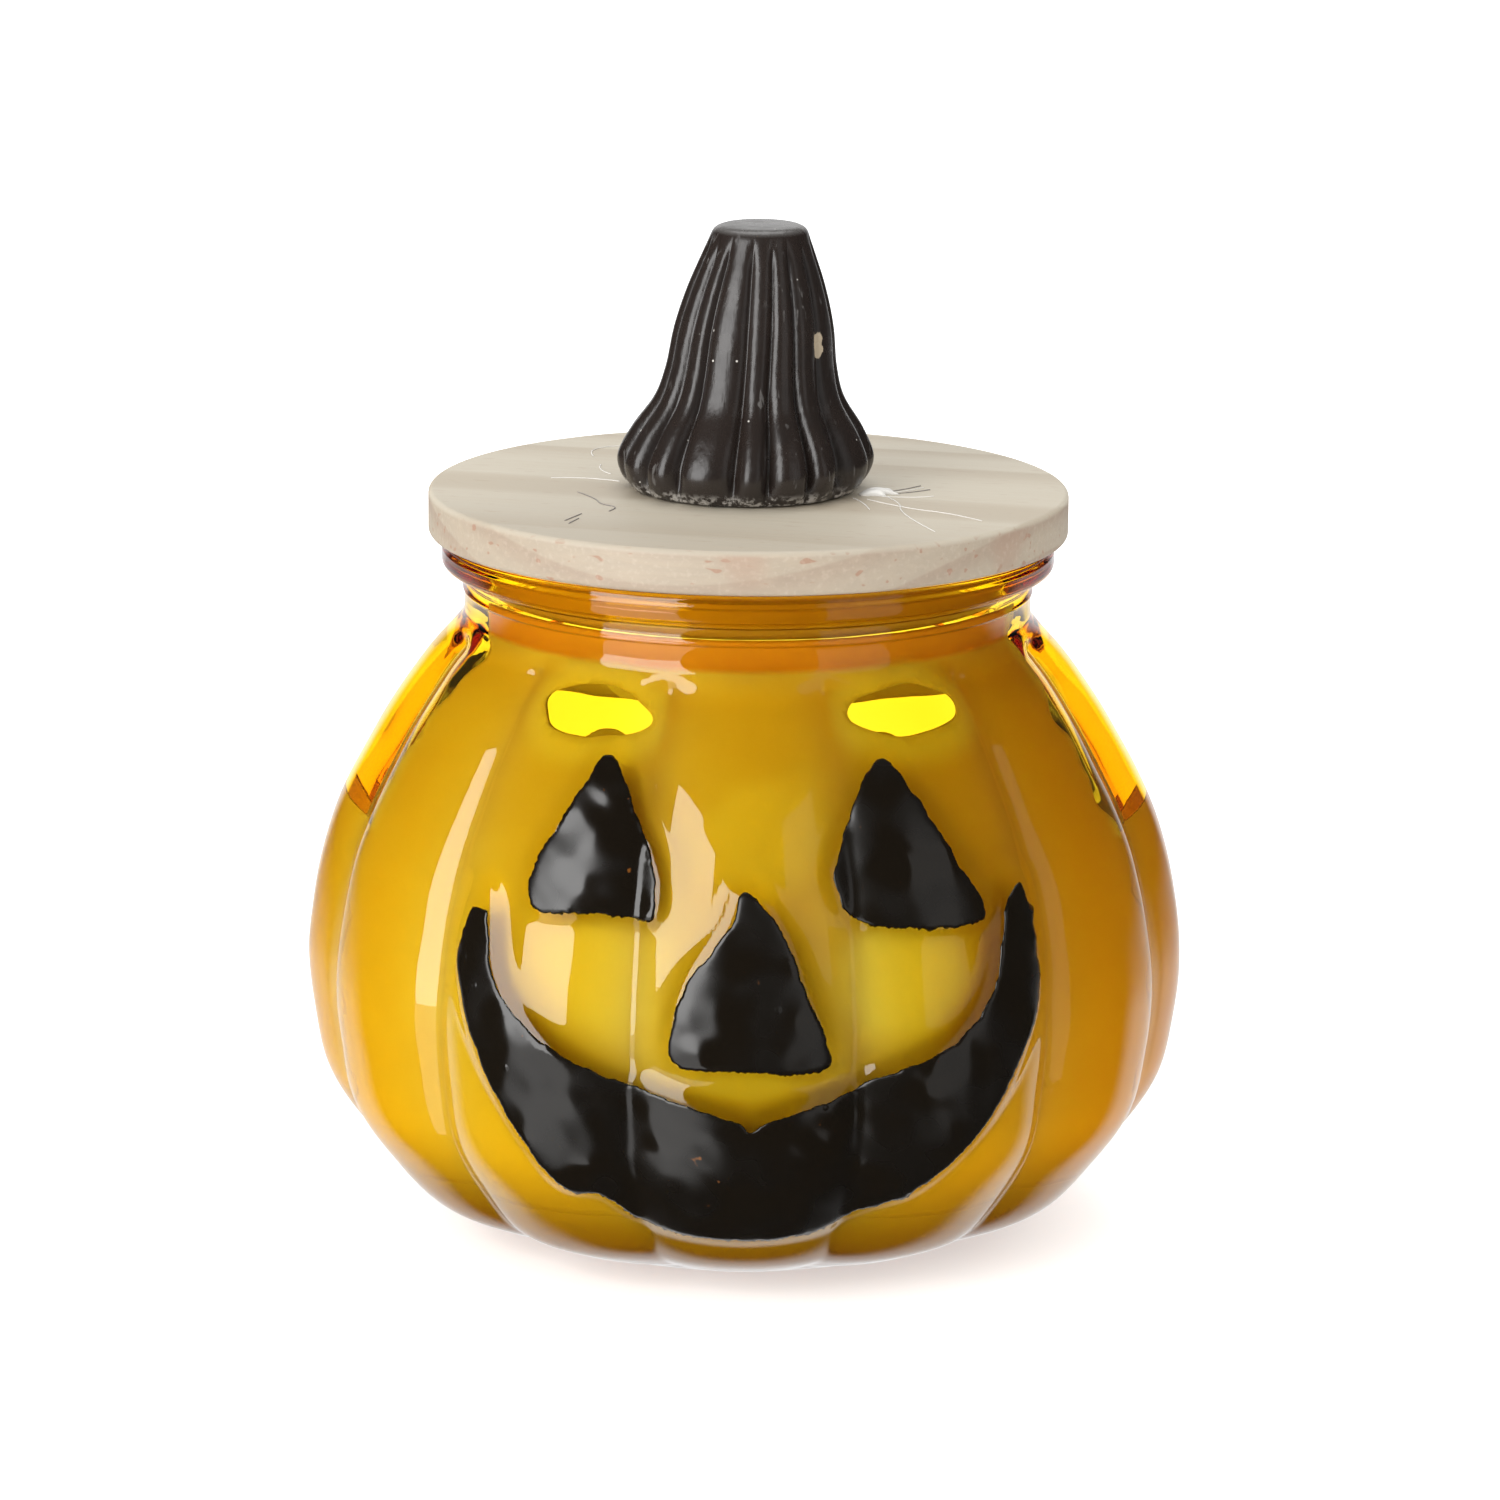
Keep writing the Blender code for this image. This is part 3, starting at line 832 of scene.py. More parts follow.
# %% [markdown]
# ## The painted edge
# A brush leaves a wavy outline, frayed along its lower sides, and the paint runs where it was too wet.
# So each drawn outline is cut into fine steps, and every step is moved out or in by a few waves and by
# the drips near it.

# %% The painted edge
DRIP_RUN = 0.5 * MM
# Each drip: x and z of its middle, and its size, in millimetres.
DRIPS = [
    (-21.5, 18, 1.3), (-19, 16.5, 0.9), (17, 15.5, 1.0), (21, 17.6, 1.2), (10.2, 38, 0.8),
    (24, 54.6, 0.6), (36.6, 54, 0.9), (-12, 55.6, 0.7),
]


def painted_edge(outline, seed):
    """The outline as the brush left it, and the way out from it at each point."""
    edge = even_steps(outline, 0.3 * MM, closed=True)
    along = np.roll(edge, -1, axis=0) - np.roll(edge, 1, axis=0)
    out = np.column_stack([along[:, 1], -along[:, 0]]) / np.linalg.norm(along, axis=1)[:, None]
    if (out * (edge - edge.mean(0))).sum() < 0:
        out = -out
    ragged = 0.12 * MM * ripples(edge, 4 * MM, seed) + 0.05 * MM * ripples(edge, 1.1 * MM, seed + 1)
    ragged += 0.22 * MM * np.abs(ripples(edge, 0.9 * MM, seed + 3)) * ease(-out[:, 1], 0.2, 0.9)
    for x, z, size in DRIPS:
        away = np.linalg.norm(edge - (x * MM, z * MM), axis=1)
        ragged += DRIP_RUN * np.exp(-(away / (size * MM)) ** 2)
    return edge + out * ragged[:, None], out


print("the face has", len(DRIPS), "drips")

# %% [markdown]
# ## The painted face
# A texture on the glass would lie flat, but thick paint beads up at its edge. So each patch is a real
# film: its outline is filled with triangles, the sheet is laid on the glass and lifted by a rounded
# edge, and it is closed underneath, a hair inside the glass, so that no air shows between them.
# The brush stopped short of the mouth's left tip, so the glass stays bare there.

# %% Enamel films
FILM = 0.22 * MM
FILM_EDGE = 0.7 * MM
FILM_SUNK = 0.12 * MM
BARE_ABOVE = 55.2 * MM


def on_glass(flat, lift):
    """Points of the jar's skin seen from the front at (x, z), raised by lift."""
    x, z = flat[:, 0], flat[:, 1]
    angle = np.arcsin(np.clip(x / JAR_RADIUS, -0.99, 0.99))
    for _ in range(12):
        angle = np.arcsin(np.clip(x / glass_radius(angle, z), -0.99, 0.99))
    radius = glass_radius(angle, z) + relief(flat) + lift
    return np.column_stack([radius * np.sin(angle), -radius * np.cos(angle), z])


def enamel_film(name, node, outline, seed):
    """One painted patch, as a closed film that follows the raised glass."""
    edge, out = painted_edge(outline, seed)
    low, high = edge.min(0), edge.max(0)
    spacing = 0.55 * MM
    columns = np.arange(low[0], high[0], spacing)
    rows = np.arange(low[1], high[1], spacing)
    grid = np.stack(np.meshgrid(columns, rows), -1)
    grid[::2, :, 0] += spacing / 2
    inner_points = [grid.reshape(-1, 2)]
    for inset in (0.12, 0.3, 0.55):
        inner_points.append(edge - out * inset * MM)
    kept = []
    for group, least in zip(inner_points, (0.75, 0.1, 0.26, 0.5)):
        kept.append(group[depth_inside(group, edge) > least * MM])
    flat = np.vstack([edge, *kept])
    count = len(edge)
    loop = [(i, (i + 1) % count) for i in range(count)]
    found, _, faces, _, _, _ = delaunay_2d_cdt([Vector(p) for p in flat], loop, [], 1, 1e-9)
    flat = np.array([tuple(p) for p in found])
    inside = np.maximum(depth_inside(flat, edge), 0)
    bead = np.sqrt(1 - (1 - np.clip(inside / FILM_EDGE, 0, 1)) ** 2)
    lift = FILM * bead * (1 + 0.25 * ripples(flat, 5 * MM, seed + 2))
    top = on_glass(flat, lift)
    bottom = on_glass(flat, -FILM_SUNK)
    film = closed_sheet(name, top, bottom, [list(f) for f in faces])
    film.data.materials.append(black_enamel)
    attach(film, "jar")
    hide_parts(node)
    print(name, len(film.data.polygons), "faces")


for seed, (feature, outline) in enumerate(outlines.items()):
    bare_tip = (outline[:, 0] < 0) & (outline[:, 1] > BARE_ABOVE) & (feature == "mouth")
    outline = outline[~bare_tip]
    enamel_film(feature + "_enamel", feature + "_paint", outline, 20 + 5 * seed)

# %% [markdown]
# ## Wax
# Candle wax is a soft ivory, and every change in it shows through the amber glass. Over the ivory lie
# painted light and shade: pale painted highlights at a few spots on the front, painted shade darkening it
# towards the base, a warmer, darker painted shade to the right, away from the key light, and a painted
# orange shade in the neck, where light reaches it only through the amber glass. Each of these is a mask
# made from the position, laid over a cloudy noise. Near the open edges of the wax skin a painted glow
# turns it nearly white, for light shining through there.

# %% Wax
wax, tree, shader = new_material("wax", Roughness=0.4)
WAX_TOP = wax_high.z
# Each painted highlight: x and z of its middle, half its width and height in millimetres, and its strength.
PAINTED_HIGHLIGHTS = [
    (20, 47, 12, 11, 1.0), (-20, 47, 11, 10, 0.7), (2, 66, 13, 9, 0.7), (-36, 52, 12, 20, 0.35),
    (0, 35, 9, 4, 0.7),
]
place = object_place(tree)
spot = add(tree, "ShaderNodeSeparateXYZ", {0: place}).outputs
cloud = noise(tree, place, 60.0)
ivory = blend(tree, cloud, (0.93, 0.83, 0.64), (0.84, 0.7, 0.48))
# Painted shade: the wax turns warmer and darker to the right, the side away from the key light.
ivory = blend(tree, ramp(tree, spot["X"], 2 * MM, 50 * MM, 0.0, 0.75), ivory, (0.8, 0.48, 0.2))
# Pale painted highlights on the front of the wax, at the spots listed above.
for x, z, wide_by, high_by, shown in PAINTED_HIGHLIGHTS:
    away = add(tree, "ShaderNodeCombineXYZ", {
        0: maths(tree, "DIVIDE", maths(tree, "SUBTRACT", spot["X"], x * MM), wide_by * MM),
        1: maths(tree, "DIVIDE", maths(tree, "SUBTRACT", spot["Z"], z * MM), high_by * MM),
    })
    away = add(tree, "ShaderNodeVectorMath", {0: away.outputs[0]}, operation="LENGTH").outputs["Value"]
    away = maths(tree, "ADD", away, times(tree, maths(tree, "SUBTRACT", cloud, 0.5), 0.9))
    front_only = ramp(tree, spot["Y"], 0.0, -20 * MM)
    highlight_share = times(tree, ramp(tree, away, 1.1, 0.45, 0.0, shown), front_only)
    ivory = blend(tree, highlight_share, ivory, (1.0, 0.98, 0.9))
# Painted shade: the wax darkens towards the bottom, from 23 mm down to 9 mm above the table.
ivory = blend(tree, ramp(tree, spot["Z"], 23 * MM, 9 * MM, 0.0, 0.85), ivory, (0.26, 0.19, 0.08))
# Painted shade: the wax in the neck turns orange, for light that reaches it only through the amber glass.
ivory = blend(tree, ramp(tree, spot["Z"], 83.6 * MM, 85 * MM), ivory, (0.86, 0.4, 0.08))
# Painted glow: where the wax skin is thin at its open edges it turns nearly white, for light shining
# through it.
thin_edge_glow = add(tree, "ShaderNodeAttribute", attribute_name="thin").outputs["Fac"]
ivory = blend(tree, ramp(tree, thin_edge_glow, 0.0, 1.0, 0.0, 0.95), ivory, (1.0, 1.0, 0.95))
coloured(tree, shader, ivory)
print("wax nodes:", len(tree.nodes))

# %% [markdown]
# ## The candle
# The wax is poured in, so it takes the shape of the cavity, ends in a level surface with a small rim
# where it climbs the wall, and rises a little at the wick. It is turned from the cavity's own outline
# and pressed by the same lobing tree, so it fits all round. It overlaps the glass by a quarter of a
# millimetre: with no film of air between them, light passes straight from one to the other.

# %% The candle
BOND = 0.25 * MM
sides = cavity_outline(BOND)
sides = sides[sides[:, 1] < WAX_TOP + 0.8 * MM]
edge_radius = sides[0][0]
top = [
    (0, WAX_TOP + 0.6 * MM), (1.5 * MM, WAX_TOP + 0.5 * MM), (3.5 * MM, WAX_TOP - 0.2 * MM),
    (10 * MM, WAX_TOP - 0.6 * MM), (20 * MM, WAX_TOP - 0.7 * MM), (30 * MM, WAX_TOP - 0.6 * MM),
    (edge_radius - 5 * MM, WAX_TOP - 0.3 * MM), (edge_radius - 2 * MM, WAX_TOP),
    (edge_radius - 0.7 * MM, WAX_TOP + 0.3 * MM),
]
under_rim = sides[0] - (0, 0.1 * MM)
wax_outline = np.vstack([
    curve_through(top, 4), [sides[0], under_rim], even_steps(sides[2:], 2 * MM),
    [(0, GLASS_FLOOR - BOND)],
])
shares = lobe_share(wax_outline[:, 1]) * INNER_SHARE
shares *= ease(wax_outline[:, 0], 14 * MM, MOUTH_RADIUS)
candle = turned("candle_fill", wax_outline, even_angles(180), shares)
run_tree(candle, press_lobes, {
    "Lobes": LOBES, "Depth": LOBE_DEPTH, "Sharpness": LOBE_SHARPNESS, "Crease": CREASE, "Wander": 0.0,
    "Seed": 0.0, "Material": wax,
})
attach(candle, "jar")
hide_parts("candle_wax")
print("wax stands", round(WAX_TOP / MM, 1), "mm above the table")

# %% [markdown]
# ## Wax on the wall
# Poured wax splashes and leaves a skin inside the front of the jar, up into the neck, with two gaps
# on the shoulder where one looks right through. It is a sheet with holes: its border and the gaps are
# loops, the rest is filled with triangles, and the flat sheet is then wrapped onto the wall.

# %% The inside of the wall
FILM_LOW, FILM_HIGH = 14 * MM, 88.6 * MM
FILM_HALF = math.radians(71)
# Each gap: the turn to its middle in degrees, its height, and half its width and height, in millimetres.
WINDOWS = [(-30, 77.8, 9.8, 3.1), (31.5, 78, 10, 3.1)]
# THIN_EDGE is how far from an open edge the wax skin's painted glow reaches.
THIN_EDGE = 6 * MM
neck_wall = [(MOUTH_RADIUS, 90 * MM), (MOUTH_RADIUS, SHOULDER_TOP + 1 * MM)]
inside_wall = np.vstack([neck_wall, cavity_outline()])
inside_wall = inside_wall[np.argsort(inside_wall[:, 1])]


def inner_radius(angle, height, lift):
    """The radius of the jar's inside, moved in by lift."""
    radius = np.interp(height, inside_wall[:, 1], inside_wall[:, 0])
    share = lobe_share(height) * INNER_SHARE * ease(radius, 14 * MM, MOUTH_RADIUS)
    return radius * (1 - LOBE_DEPTH * share * valley(angle)) - lift


def ellipse(turn, height, across, up, seed):
    """A closed, slightly uneven loop on the unrolled wall."""
    steps = np.linspace(0, 2 * math.pi, 160, endpoint=False)
    circle = np.column_stack([np.cos(steps), np.sin(steps)])
    size = 1 + 0.09 * ripples(circle, 1.5, seed)
    loop = (turn, height) + circle * size[:, None] * np.array([across, up])
    loop[:, 1] = np.clip(loop[:, 1], FILM_LOW + 1 * MM, FILM_HIGH - 0.8 * MM)
    return loop


def film_loops(middle):
    """The film's border and its gaps, on the wall unrolled at the radius middle."""
    half = FILM_HALF * middle
    corners = np.array([(-half, FILM_LOW), (half, FILM_LOW), (half, FILM_HIGH), (-half, FILM_HIGH)])
    border = even_steps(corners, 0.4 * MM, closed=True)
    at_end = np.abs(border[:, 0]) > 0.99 * half
    wander = MM * (2 + 2 * ripples(border, 7 * MM, 58))
    border[:, 0] -= np.sign(border[:, 0]) * wander * at_end
    gaps = []
    for i, (turn, height, across, up) in enumerate(WINDOWS):
        along = math.radians(turn) * middle
        gaps.append(ellipse(along, height * MM, across * MM, up * MM, 60 + i))
    return border, gaps


print("the film has", len(WINDOWS), "gaps")

# %% [markdown]
# ## A sheet with gaps
# Delaunay triangulation joins scattered points into the roundest triangles it can, and keeps the
# loops given as edges. Blender has it ready in mathutils. The triangles that lie in a gap or
# outside the border are then dropped.

# %% A sheet with gaps
def filled(border, gaps, grid):
    """Points and triangles that fill the border, but not the gaps."""
    loops = [border, *gaps]
    edges, first = [], 0
    for loop in loops:
        edges += [(first + i, first + (i + 1) % len(loop)) for i in range(len(loop))]
        first += len(loop)
    flat = np.vstack([*loops, grid])
    found, _, faces, _, _, _ = delaunay_2d_cdt([Vector(p) for p in flat], edges, [], 0, 1e-9)
    flat = np.array([tuple(p) for p in found])
    centres = np.array([flat[list(f)].mean(0) for f in faces])
    keep = depth_inside(centres, border) > 0
    for gap in gaps:
        keep &= depth_inside(centres, gap) < 0
    faces = [list(f) for f, kept in zip(faces, keep) if kept]
    used = sorted({i for f in faces for i in f})
    number = {old: new for new, old in enumerate(used)}
    return flat[used], [[number[i] for i in f] for f in faces]


def wax_film():
    """A thin closed sheet on the inside of the wall, with gaps."""
    middle = np.interp((FILM_LOW + FILM_HIGH) / 2, inside_wall[:, 1], inside_wall[:, 0])
    half = FILM_HALF * middle
    border, gaps = film_loops(middle)
    spacing = 1.0 * MM
    columns = np.arange(-half + spacing, half - spacing / 2, spacing)
    rows = np.arange(FILM_LOW + spacing, FILM_HIGH - spacing / 2, spacing)
    grid = np.stack(np.meshgrid(columns, rows), -1).reshape(-1, 2)
    for gap in gaps:
        grid = grid[depth_inside(grid, gap) < -0.3 * MM]
    grid = grid[depth_inside(grid, border) > 0.3 * MM]
    flat, faces = filled(border, gaps, grid)
    angle, height = flat[:, 0] / middle, flat[:, 1]
    to_gap = [np.abs(depth_inside(flat, gap)) for gap in gaps]
    edge = np.minimum.reduce([np.abs(depth_inside(flat, border)), *to_gap])
    near_end = (np.abs(flat[:, 0]) > 0.6 * half) & (height > WAX_TOP)
    to_end = np.where(near_end, np.abs(np.abs(flat[:, 0]) - half), np.inf)
    open_edge = np.minimum.reduce([to_end, *to_gap])
    lumps = 1 + 0.3 * ripples(flat, 6 * MM, 77)
    thick = (0.25 * MM + 0.35 * MM * ease(edge, 0, 1.5 * MM)) * lumps

    def skin(lift):
        radius = inner_radius(angle, height, lift)
        return np.column_stack([radius * np.sin(angle), -radius * np.cos(angle), height])

    sheet = closed_sheet("wax_film", skin(-0.35 * MM), skin(thick), faces)
    # This layer sets where the wax finish paints its glow, near the skin's open edges.
    thin = sheet.data.attributes.new("thin", "FLOAT", "POINT")
    thin.data.foreach_set("value", np.tile(1 - ease(open_edge, 0, THIN_EDGE), 2))
    return sheet


film = wax_film()
film.data.materials.append(wax)
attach(film, "jar")
print("wax film has", len(film.data.polygons), "faces")

# %% [markdown]
# ## Wick
# A cotton wick is braided from strands that wind round each other. The tree draws one strand as a
# spiral tube and turns copies of it evenly round the axis, so one number sets how tight it is. A plain
# cylinder with a bump map would pass from afar, but not through the open mouth.

# %% Wick
def braiding_tree():
    """Strands that wind round each other, from one spiral and its turned copies."""
    made, given = new_tree("braid_wick", {
        "Geometry": "Geometry", "Strands": "Int", "Turns": "Float", "Radius": "Float",
        "Thickness": "Float", "Height": "Float", "Material": "Material",
    })
    spiral = add(made, "GeometryNodeCurveSpiral", {
        "Resolution": 24, "Rotations": given["Turns"], "Start Radius": given["Radius"],
        "End Radius": given["Radius"], "Height": given["Height"],
    })
    profile = add(made, "GeometryNodeCurvePrimitiveCircle", {
        "Resolution": 10, "Radius": given["Thickness"],
    })
    strand = add(made, "GeometryNodeCurveToMesh", {
        "Curve": spiral.outputs[0], "Profile Curve": profile.outputs[0], "Fill Caps": True,
    })
    spots = add(made, "GeometryNodePoints", {"Count": given["Strands"]})
    step = maths(made, "DIVIDE", 2 * math.pi, given["Strands"])
    turn = add(made, "ShaderNodeCombineXYZ", {
        2: times(made, add(made, "GeometryNodeInputIndex").outputs[0], step),
    })
    copies = add(made, "GeometryNodeInstanceOnPoints", {
        "Points": spots.outputs[0], "Instance": strand.outputs[0], "Rotation": turn.outputs[0],
    })
    finish_tree(made, copies.outputs[0], given["Material"])
    return made


cotton, tree, shader = new_material("cotton_braid", Roughness=0.9)
fuzz = noise(tree, object_place(tree), 2500.0)
coloured(tree, shader, blend(tree, fuzz, (0.8, 0.75, 0.63), (0.6, 0.54, 0.42)))
bumped(tree, shader, fuzz, 0.4, 0.1 * MM)
wick_radius = (wick_high.x - wick_low.x) / 2
braid = new_object("braided_wick", np.array([(0, 0, 0)]), [])
run_tree(braid, braiding_tree(), {
    "Strands": 3, "Turns": 9.0, "Radius": wick_radius * 0.5, "Thickness": wick_radius * 0.5,
    "Height": wick_high.z - wick_low.z, "Material": cotton,
})
points = get_points(braid)
points[:, 2] += wick_low.z
set_points(braid, points)
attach(braid, "jar")
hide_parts("wick")
print("wick has", len(braid.data.polygons), "faces")

# %% [markdown]
# ## Sustainer and sticker
# A tin disc holds the wick upright in the wax, and a foam sticker holds the disc to the glass. They
# are plain discs, deep in the wax, so the frame's own meshes serve and only get a finish.

# %% Sustainer and sticker
tin, tree, shader = new_material("tin_plate", Metallic=1.0)
place = object_place(tree)
coloured(tree, shader, blend(tree, noise(tree, place, 300.0), (0.66, 0.66, 0.67), (0.55, 0.55, 0.56)))
tree.links.new(ramp(tree, noise(tree, place, 900.0), 0.3, 0.7, 0.25, 0.4), shader.inputs["Roughness"])
foam, tree, shader = new_material("foam_sticker", Roughness=0.8)
pores = noise(tree, object_place(tree), 1800.0)
coloured(tree, shader, blend(tree, pores, (0.84, 0.84, 0.82), (0.7, 0.7, 0.68)))
for node, finish in (("wick_sustainer", tin), ("wick_sticker", foam)):
    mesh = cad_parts[node].data
    mesh.materials.clear()
    mesh.materials.append(finish)
    print(node, "is finished in", finish.name)

# %% [markdown]
# ## Pine
# Pine is a stack of nested cones, one for each year. A board cuts through them, and the cut shows
# wavy bands on its face and short stripes on its edge. The rings here are real rings about a pith
# below the board, bent by noise, so face and edge agree without any unwrapping.
# Fibres, flecks and soft bands of tone lie over them, and the sawn edge is darker and rougher. The plug
# below the disc is painted orange-brown, a painted shade for wood lit only through the amber neck.

# %% Pine
LID_TOP = lid_high.z
LID_BOTTOM = LID_TOP - 6 * MM
GRAIN_TURN = 15
YEAR = 5.2 * MM
PITH_ASIDE, PITH_BELOW = 9 * MM, 62 * MM


def along_grain(tree, degrees, stretch):
    """Object coordinates turned to the grain, and squeezed along it."""
    turned_place = add(tree, "ShaderNodeVectorRotate", {
        "Vector": object_place(tree), "Angle": math.radians(degrees),
    }, rotation_type="Z_AXIS").outputs[0]
    squeezed = add(tree, "ShaderNodeMapping", {"Vector": turned_place, "Scale": (stretch, 1, 1)})
    return squeezed.outputs[0]


pine, tree, shader = new_material("pine", Roughness=0.55)
board = along_grain(tree, GRAIN_TURN, 0.16)
spot = add(tree, "ShaderNodeSeparateXYZ", {0: board}).outputs
bend = times(tree, maths(tree, "SUBTRACT", noise(tree, board, 16.0), 0.5), 22 * MM)
across = maths(tree, "ADD", maths(tree, "ADD", spot["Y"], PITH_ASIDE), bend)
deep = maths(tree, "SUBTRACT", spot["Z"], LID_TOP - PITH_BELOW)
squares = maths(tree, "ADD", times(tree, across, across), times(tree, deep, deep))
year = maths(tree, "FRACT", maths(tree, "DIVIDE", maths(tree, "SQRT", squares), YEAR))
late = times(tree, ramp(tree, year, 0.35, 0.92), ramp(tree, year, 1.0, 0.93))
side = ramp(tree, spot["Z"], LID_TOP - 0.2 * MM, LID_TOP - 0.9 * MM)
pale = blend(tree, side, (0.46, 0.415, 0.33), (0.32, 0.265, 0.195))
tan = blend(tree, side, (0.36, 0.3, 0.22), (0.24, 0.165, 0.115))
wood = blend(tree, times(tree, late, 0.6), pale, tan)
toned = times(tree, ramp(tree, across, 5 * MM, -40 * MM), ramp(tree, side, 0.0, 1.0, 0.75, 0.35))
wood = blend(tree, toned, wood, blend(tree, side, (0.31, 0.27, 0.21), (0.26, 0.215, 0.165)))
grain = ramp(tree, noise(tree, along_grain(tree, GRAIN_TURN, 0.05), 900.0, 3.0, 0.6), 0.3, 0.75)
wood = blend(tree, times(tree, grain, 0.22), wood, (0.4, 0.32, 0.23))
fleck = ramp(tree, noise(tree, along_grain(tree, GRAIN_TURN, 0.35), 850.0, 1.0), 0.67, 0.73)
fleck = times(tree, fleck, ramp(tree, side, 0.0, 1.0, 0.18, 0.8))
wood = blend(tree, fleck, wood, (0.27, 0.15, 0.095))
band = ramp(tree, noise(tree, along_grain(tree, 0, 1.6), 42.0, 1.0), 0.54, 0.66)
wood = blend(tree, times(tree, band, times(tree, side, 0.6)), wood, (0.3, 0.2, 0.14))
stipple = noise(tree, object_place(tree), 1500.0, 1.0)
worn = times(tree, ramp(tree, stipple, 0.5, 0.8), times(tree, side, 0.16))
wood = blend(tree, worn, wood, (0.52, 0.44, 0.35))
# Painted shade: the plug below the disc turns orange-brown, for wood that sits in the lid's shadow and is
# lit only through the amber neck.
plug = ramp(tree, spot["Z"], LID_BOTTOM + 0.05 * MM, LID_BOTTOM - 0.25 * MM)
wood = blend(tree, plug, wood, (0.56, 0.29, 0.1))
coloured(tree, shader, wood)
bumped(tree, shader, maths(tree, "ADD", grain, times(tree, stipple, side)), 0.3, 0.1 * MM)
print("pine nodes:", len(tree.nodes))

# %% [markdown]
# ## Lid
# The lid is a disc turned on a lathe, with a plug below it that drops into the neck and a groove in
# the plug for the seal. One outline makes it all. The edges are rounded by 0.7 mm, because a sanded
# edge always catches a thin line of light.

# %% The lid
PLUG_RADIUS = 33.2 * MM
GROOVE_RADIUS = 31.6 * MM
SANDED = 0.7 * MM
plug_bottom = lid_low.z
groove_low, groove_high = seal_low.z - 0.3 * MM, seal_high.z + 0.3 * MM
lid_outline = [
    (0, LID_TOP), (15 * MM, LID_TOP), (30 * MM, LID_TOP),
    *arc(LID_RADIUS - SANDED, LID_TOP - SANDED, SANDED, 90, 0),
    *arc(LID_RADIUS - SANDED, LID_BOTTOM + SANDED, SANDED, 0, -90),
    (PLUG_RADIUS + 0.4 * MM, LID_BOTTOM), (PLUG_RADIUS, LID_BOTTOM - 0.4 * MM),
    (PLUG_RADIUS, groove_high), (GROOVE_RADIUS, groove_high), (GROOVE_RADIUS, groove_low),
    (PLUG_RADIUS, groove_low), *arc(PLUG_RADIUS - 1 * MM, plug_bottom + 1 * MM, 1 * MM, 0, -90),
    (0, plug_bottom),
]
lid = turned("pine_lid", lid_outline, even_angles(192))
lid.data.set_sharp_from_angle(angle=math.radians(40))
lid.data.materials.append(pine)
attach(lid, "lid")
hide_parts("wood_lid")
print("lid radius", round(LID_RADIUS / MM, 1), "mm, its top at", round(LID_TOP / MM, 1), "mm")

# %% [markdown]
# ## Seal
# A silicone ring sits in the plug's groove and grips the neck with two soft lips. It is a turned
# outline that closes on itself, with no points on the axis. Milky silicone lets through the amber light
# round it, and that light is painted into its colour here as a warm, half-matt tone.

# %% Seal
silicone, tree, shader = new_material("silicone", Roughness=0.4)
# Painted light: the warm base colour stands in for the amber light round the seal.
shader.inputs["Base Color"].default_value = plain((0.6, 0.36, 0.16))
LIP = 0.6 * MM
seal_radius = (seal_high.x - seal_low.x) / 2
seal_middle = (seal_low.z + seal_high.z) / 2
seal_inside = GROOVE_RADIUS + 0.3 * MM
seal_outline = [
    (seal_inside, seal_high.z), (PLUG_RADIUS, seal_high.z),
    *arc(seal_radius - LIP, seal_middle + 0.5 * MM, LIP, 70, -20),
    *arc(seal_radius - LIP, seal_middle - 0.6 * MM, LIP, 20, -70),
    (PLUG_RADIUS, seal_low.z), (seal_inside, seal_low.z),
]
seal = turned("lid_seal", seal_outline, even_angles(160), ring=True)
seal.data.materials.append(silicone)
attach(seal, "seal")
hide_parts("seal_ring")
print("seal radius", round(seal_radius / MM, 1), "mm")

# %% [markdown]
# ## Stem paint
# The knob is cast resin with one coat of satin paint. Such a coat shows what has happened to it: dust
# on the flat top, which is also painted lighter as a sheen from the light above, brush marks down the
# ribs, pale scuffs at the foot, tiny chips and one larger one.
# Each is a mask of its own, from height, noise or cells, and the masks are laid over the brown in turn.

# %% Stem paint
STEM_BOTTOM, STEM_TOP = stem_low.z, stem_high.z
CHIP_PLACE = (9.2 * MM, -6.2 * MM, 123 * MM)
stem_paint, tree, shader = new_material("stem_paint")
place = object_place(tree)
height = add(tree, "ShaderNodeSeparateXYZ", {0: place}).outputs["Z"]
lumps = noise(tree, place, 260.0, 3.0, 0.55)
drawn_down = add(tree, "ShaderNodeMapping", {"Vector": place, "Scale": (1, 1, 0.06)}).outputs[0]
brushed = noise(tree, drawn_down, 1500.0)
speck = add(tree, "ShaderNodeTexVoronoi", {"Vector": place, "Scale": 620.0}).outputs
chosen = add(tree, "ShaderNodeSeparateColor", {0: speck["Color"]}).outputs[0]
dots = times(tree, ramp(tree, speck["Distance"], 0.13, 0.05), ramp(tree, chosen, 0.86, 0.88))
at_foot = ramp(tree, height, STEM_BOTTOM + 1.9 * MM, STEM_BOTTOM + 0.3 * MM)
scuff = times(tree, at_foot, ramp(tree, noise(tree, place, 900.0, 3.0, 0.7), 0.46, 0.6))
rubbed = ramp(tree, noise(tree, place, 110.0), 0.5, 0.62)
wear = times(tree, ramp(tree, brushed, 0.63, 0.72), rubbed)
